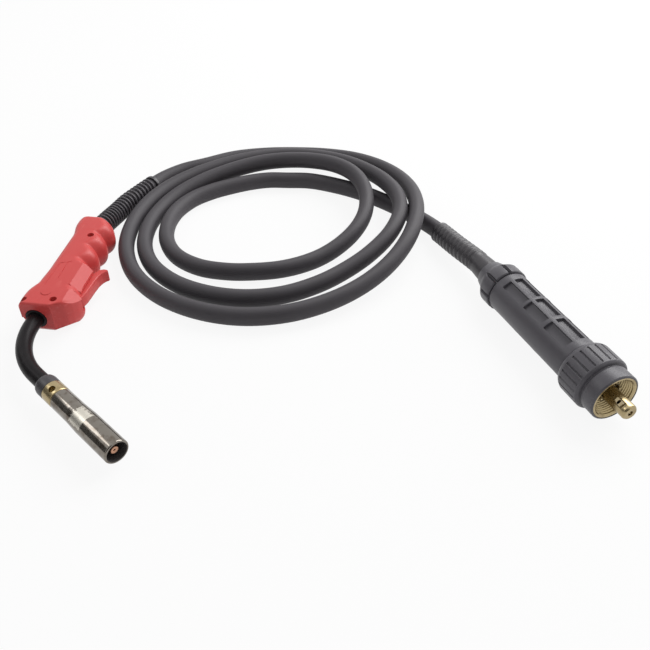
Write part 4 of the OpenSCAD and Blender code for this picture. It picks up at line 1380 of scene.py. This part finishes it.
@dataclass
class Connector:
    """The central connector: ring nut, housing, union nut and brass parts."""

    housing_r: float = 19.7
    housing_at: float = 44.0
    collar_r: float = 21.8
    nut_grooves: int = 22
    thread_r: Point2 = (17.4, 18.3)
    thread_pitch: float = 2.0
    threads: int = 10
    ring_r: float = 21.2
    lugs: int = 8
    pin_turns: Point2 = (-20, 160)
    pin_off: float = 8.4
    window_turn: float = 55
    pocket_rows: Sequence[float] = (47, 83, 119, 227, 263, 299)
    pocket_spans: Sequence[Point2] = ((8.4, 36.4), (40.6, 66.0), (69.3, 97.9))
    pocket_depth: float = 3.1
    pocket_w: float = 8.6

    def housing(self) -> bpy.types.Object:
        """The plug housing with its rows of pockets."""
        r = self.housing_r
        profile = [
            (10.6, 27), (16.4, 27), (16.4, 44), (r - 0.5, 44), (r, 44.6), (r, 150),
            (r - 0.5, 150.6), (15.6, 150.6), (15.6, 160.2), (13.2, 160.2), (13.2, 157.1),
            (12.4, 157.1), (12.4, 63), (10.6, 63),
        ]
        shape = Shape().spin(soften(profile, 0.5, 2), 120)
        w, d, at = self.pocket_w / 2, self.pocket_depth, self.housing_at
        outline = [(r - d, -w), (r + 4, -w - 0.6), (r + 4, w + 0.6), (r - d, w)]
        for a in self.pocket_rows:
            for low, high in self.pocket_spans:
                pocket = Shape().prism(outline, at + low, at + high)
                shape.cut(pocket.move(rotate(180 - a)))
        shape.bevel(0.35, 50, 2).move(TORCH.plug)
        return Piece(
            "connector_housing", shape, Slot.GREY, replaces=("plug_housing",), smooth=32
        ).make()

    def ring_nut(self) -> bpy.types.Object:
        """The nut with eight lugs that holds the boot."""
        r, hub = self.ring_r, self.ring_r - 3.6
        base = [
            (15.66, 151.2), (hub, 151.2), (hub, 166), (13.4, 180.6), (12.2, 180.6),
            (12.2, 161.2), (15.66, 161.2),
        ]
        shape = Shape().spin(soften(base, 0.4, 2), 96)
        around = [(13, 151.2), (r - 0.8, 151.2), (r, 152.2), (r, 163.6), (15.4, 172.6), (13, 172.6)]
        for i in range(self.lugs):
            lug = Shape().block((13.5, -0.3 * r, 151), (r + 2, 0.3 * r, 174))
            lug.keep(Shape().spin(around, 144)).bevel(0.7, 40, 3)
            shape.add(lug.move(rotate(360 * (i + 0.5) / self.lugs)))
        shape.move(TORCH.plug)
        return Piece("boot_nut", shape, Slot.GREY, replaces=("boot_ring_nut",)).make()

    def union_nut(self) -> bpy.types.Object:
        """The ribbed union nut."""
        r, c = TORCH.nut_r, self.collar_r
        profile = [
            (c - 1.2, 0), (c, 1), (c, 13.4), (c - 0.8, 14), (c - 0.8, 15.2), (r - 1.4, 15.6),
            (r, 17.4), (r, 38), (r - 0.7, 40), (r - 2.2, 42.3), (r - 4, 43.5), (16.46, 43.5),
            (16.46, 30.4), (18.8, 30.4), (18.8, 23), (20.02, 23), (20.02, 0.2), (20.4, 0),
        ]
        shape = Shape().spin(soften(profile, 0.5, 2), 132)
        groove = [(r - 1.0, -0.2), (r + 1, -1.9), (r + 1, 1.9), (r - 1.0, 0.2)]
        for i in range(self.nut_grooves):
            slot = Shape().prism(groove, 18.4, 37.6)
            shape.cut(slot.move(rotate(360 * i / self.nut_grooves)))
        shape.move(TORCH.plug)
        return Piece("ribbed_union_nut", shape, Slot.GREY, Body.NUT, ("union_nut",), 32).make()

    def insert(self) -> bpy.types.Object:
        """The brass insert with its thread."""
        crest, root = self.thread_r
        profile = [(root, 0.4), (19.9, 0.4), (20, 0.6), (20, 22.9), (crest, 22.9)]
        for i in range(self.threads):
            z = 22.0 - self.thread_pitch * i
            profile += [(crest, z), (root, z - 0.9), (crest, z - 1.8)]
        shape = Shape().spin([*profile, (crest, 1.6)], 96).move(TORCH.plug)
        return Piece("threaded_insert", shape, Slot.BRASS, Body.NUT, ("nut_thread_insert",), 30).make()

    def plug(self) -> bpy.types.Object:
        """The brass plug body."""
        profile = [
            (4.02, 9), (10, 9), (10.5, 9.5), (10.5, 23), (15.8, 23), (15.8, 26.9), (10.5, 26.9),
            (10.5, 62.5), (8, 64), (8, 120), (4.02, 120),
        ]
        shape = Shape().spin(soften(profile, 0.3, 2), 64)
        for a in self.pin_turns:
            shape.cut(Shape().rod(1.7, 5, 31, 24).move(rotate(a) @ shift(self.pin_off, 0, 0)))
        shape.move(TORCH.plug)
        return Piece("brass_plug_body", shape, Slot.BRASS, replaces=("plug_body",)).make()

    def spigot(self) -> bpy.types.Object:
        """The brass spigot with its side window."""
        profile = [(2.2, -17.5), (5.5, -17.5), (6.7, -15.9), (6.7, 9), (4, 9), (4, 19), (2.2, 19)]
        shape = Shape().spin(soften(profile, 0.4, 3), 64)
        corners = [(-2.7, -13.9), (2.7, -13.9), (2.7, -3.9), (-2.7, -3.9)]
        window = Shape().prism(soften(corners, 2.0, 5), -9, 9)
        shape.cut(window.move(rotate(self.window_turn) @ rotate(90, "Y") @ rotate(90)))
        shape.move(TORCH.plug)
        return Piece("brass_spigot", shape, Slot.BRASS, replaces=("plug_spigot",)).make()

    def build(self) -> list[bpy.types.Object]:
        """Builds the connector."""
        return [
            self.housing(), self.ring_nut(), self.union_nut(), self.insert(), self.plug(),
            self.spigot(),
        ]


# ---------------------------------------------------------------- the whole


def dress_nodes() -> None:
    """Gives each CAD node that still shows its finish."""
    slots = {s["node"]: s["material_slot"] for s in FRAME["record"]["subparts"]}
    for name, node in FRAME["nodes"].items():
        if node.hide_render:
            continue
        node.data.materials.clear()
        node.data.materials.append(WARDROBE.get(Slot(slots[name])))
        node.data.polygons.foreach_set("use_smooth", [False] * len(node.data.polygons))


def main() -> None:
    """Builds the scene in order."""
    logging.basicConfig(level=logging.INFO, format="%(name)s: %(message)s")
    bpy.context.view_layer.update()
    Studio().build()
    cable = Cable()
    jacket, spring, collar, boot = cable.build()
    handle = Handle().build()
    front = FrontEnd().build()
    connector = Connector().build()
    dress_nodes()
    line = [ROUTE.at(i / 8) * MM for i in range((len(ROUTE.points) - 1) * 8 + 1)]
    ROUTE.length() * MM
    LOG.info("%d pieces", 4 + len(handle) + len(front) + len(connector))


if __name__ == "__main__":
    main()
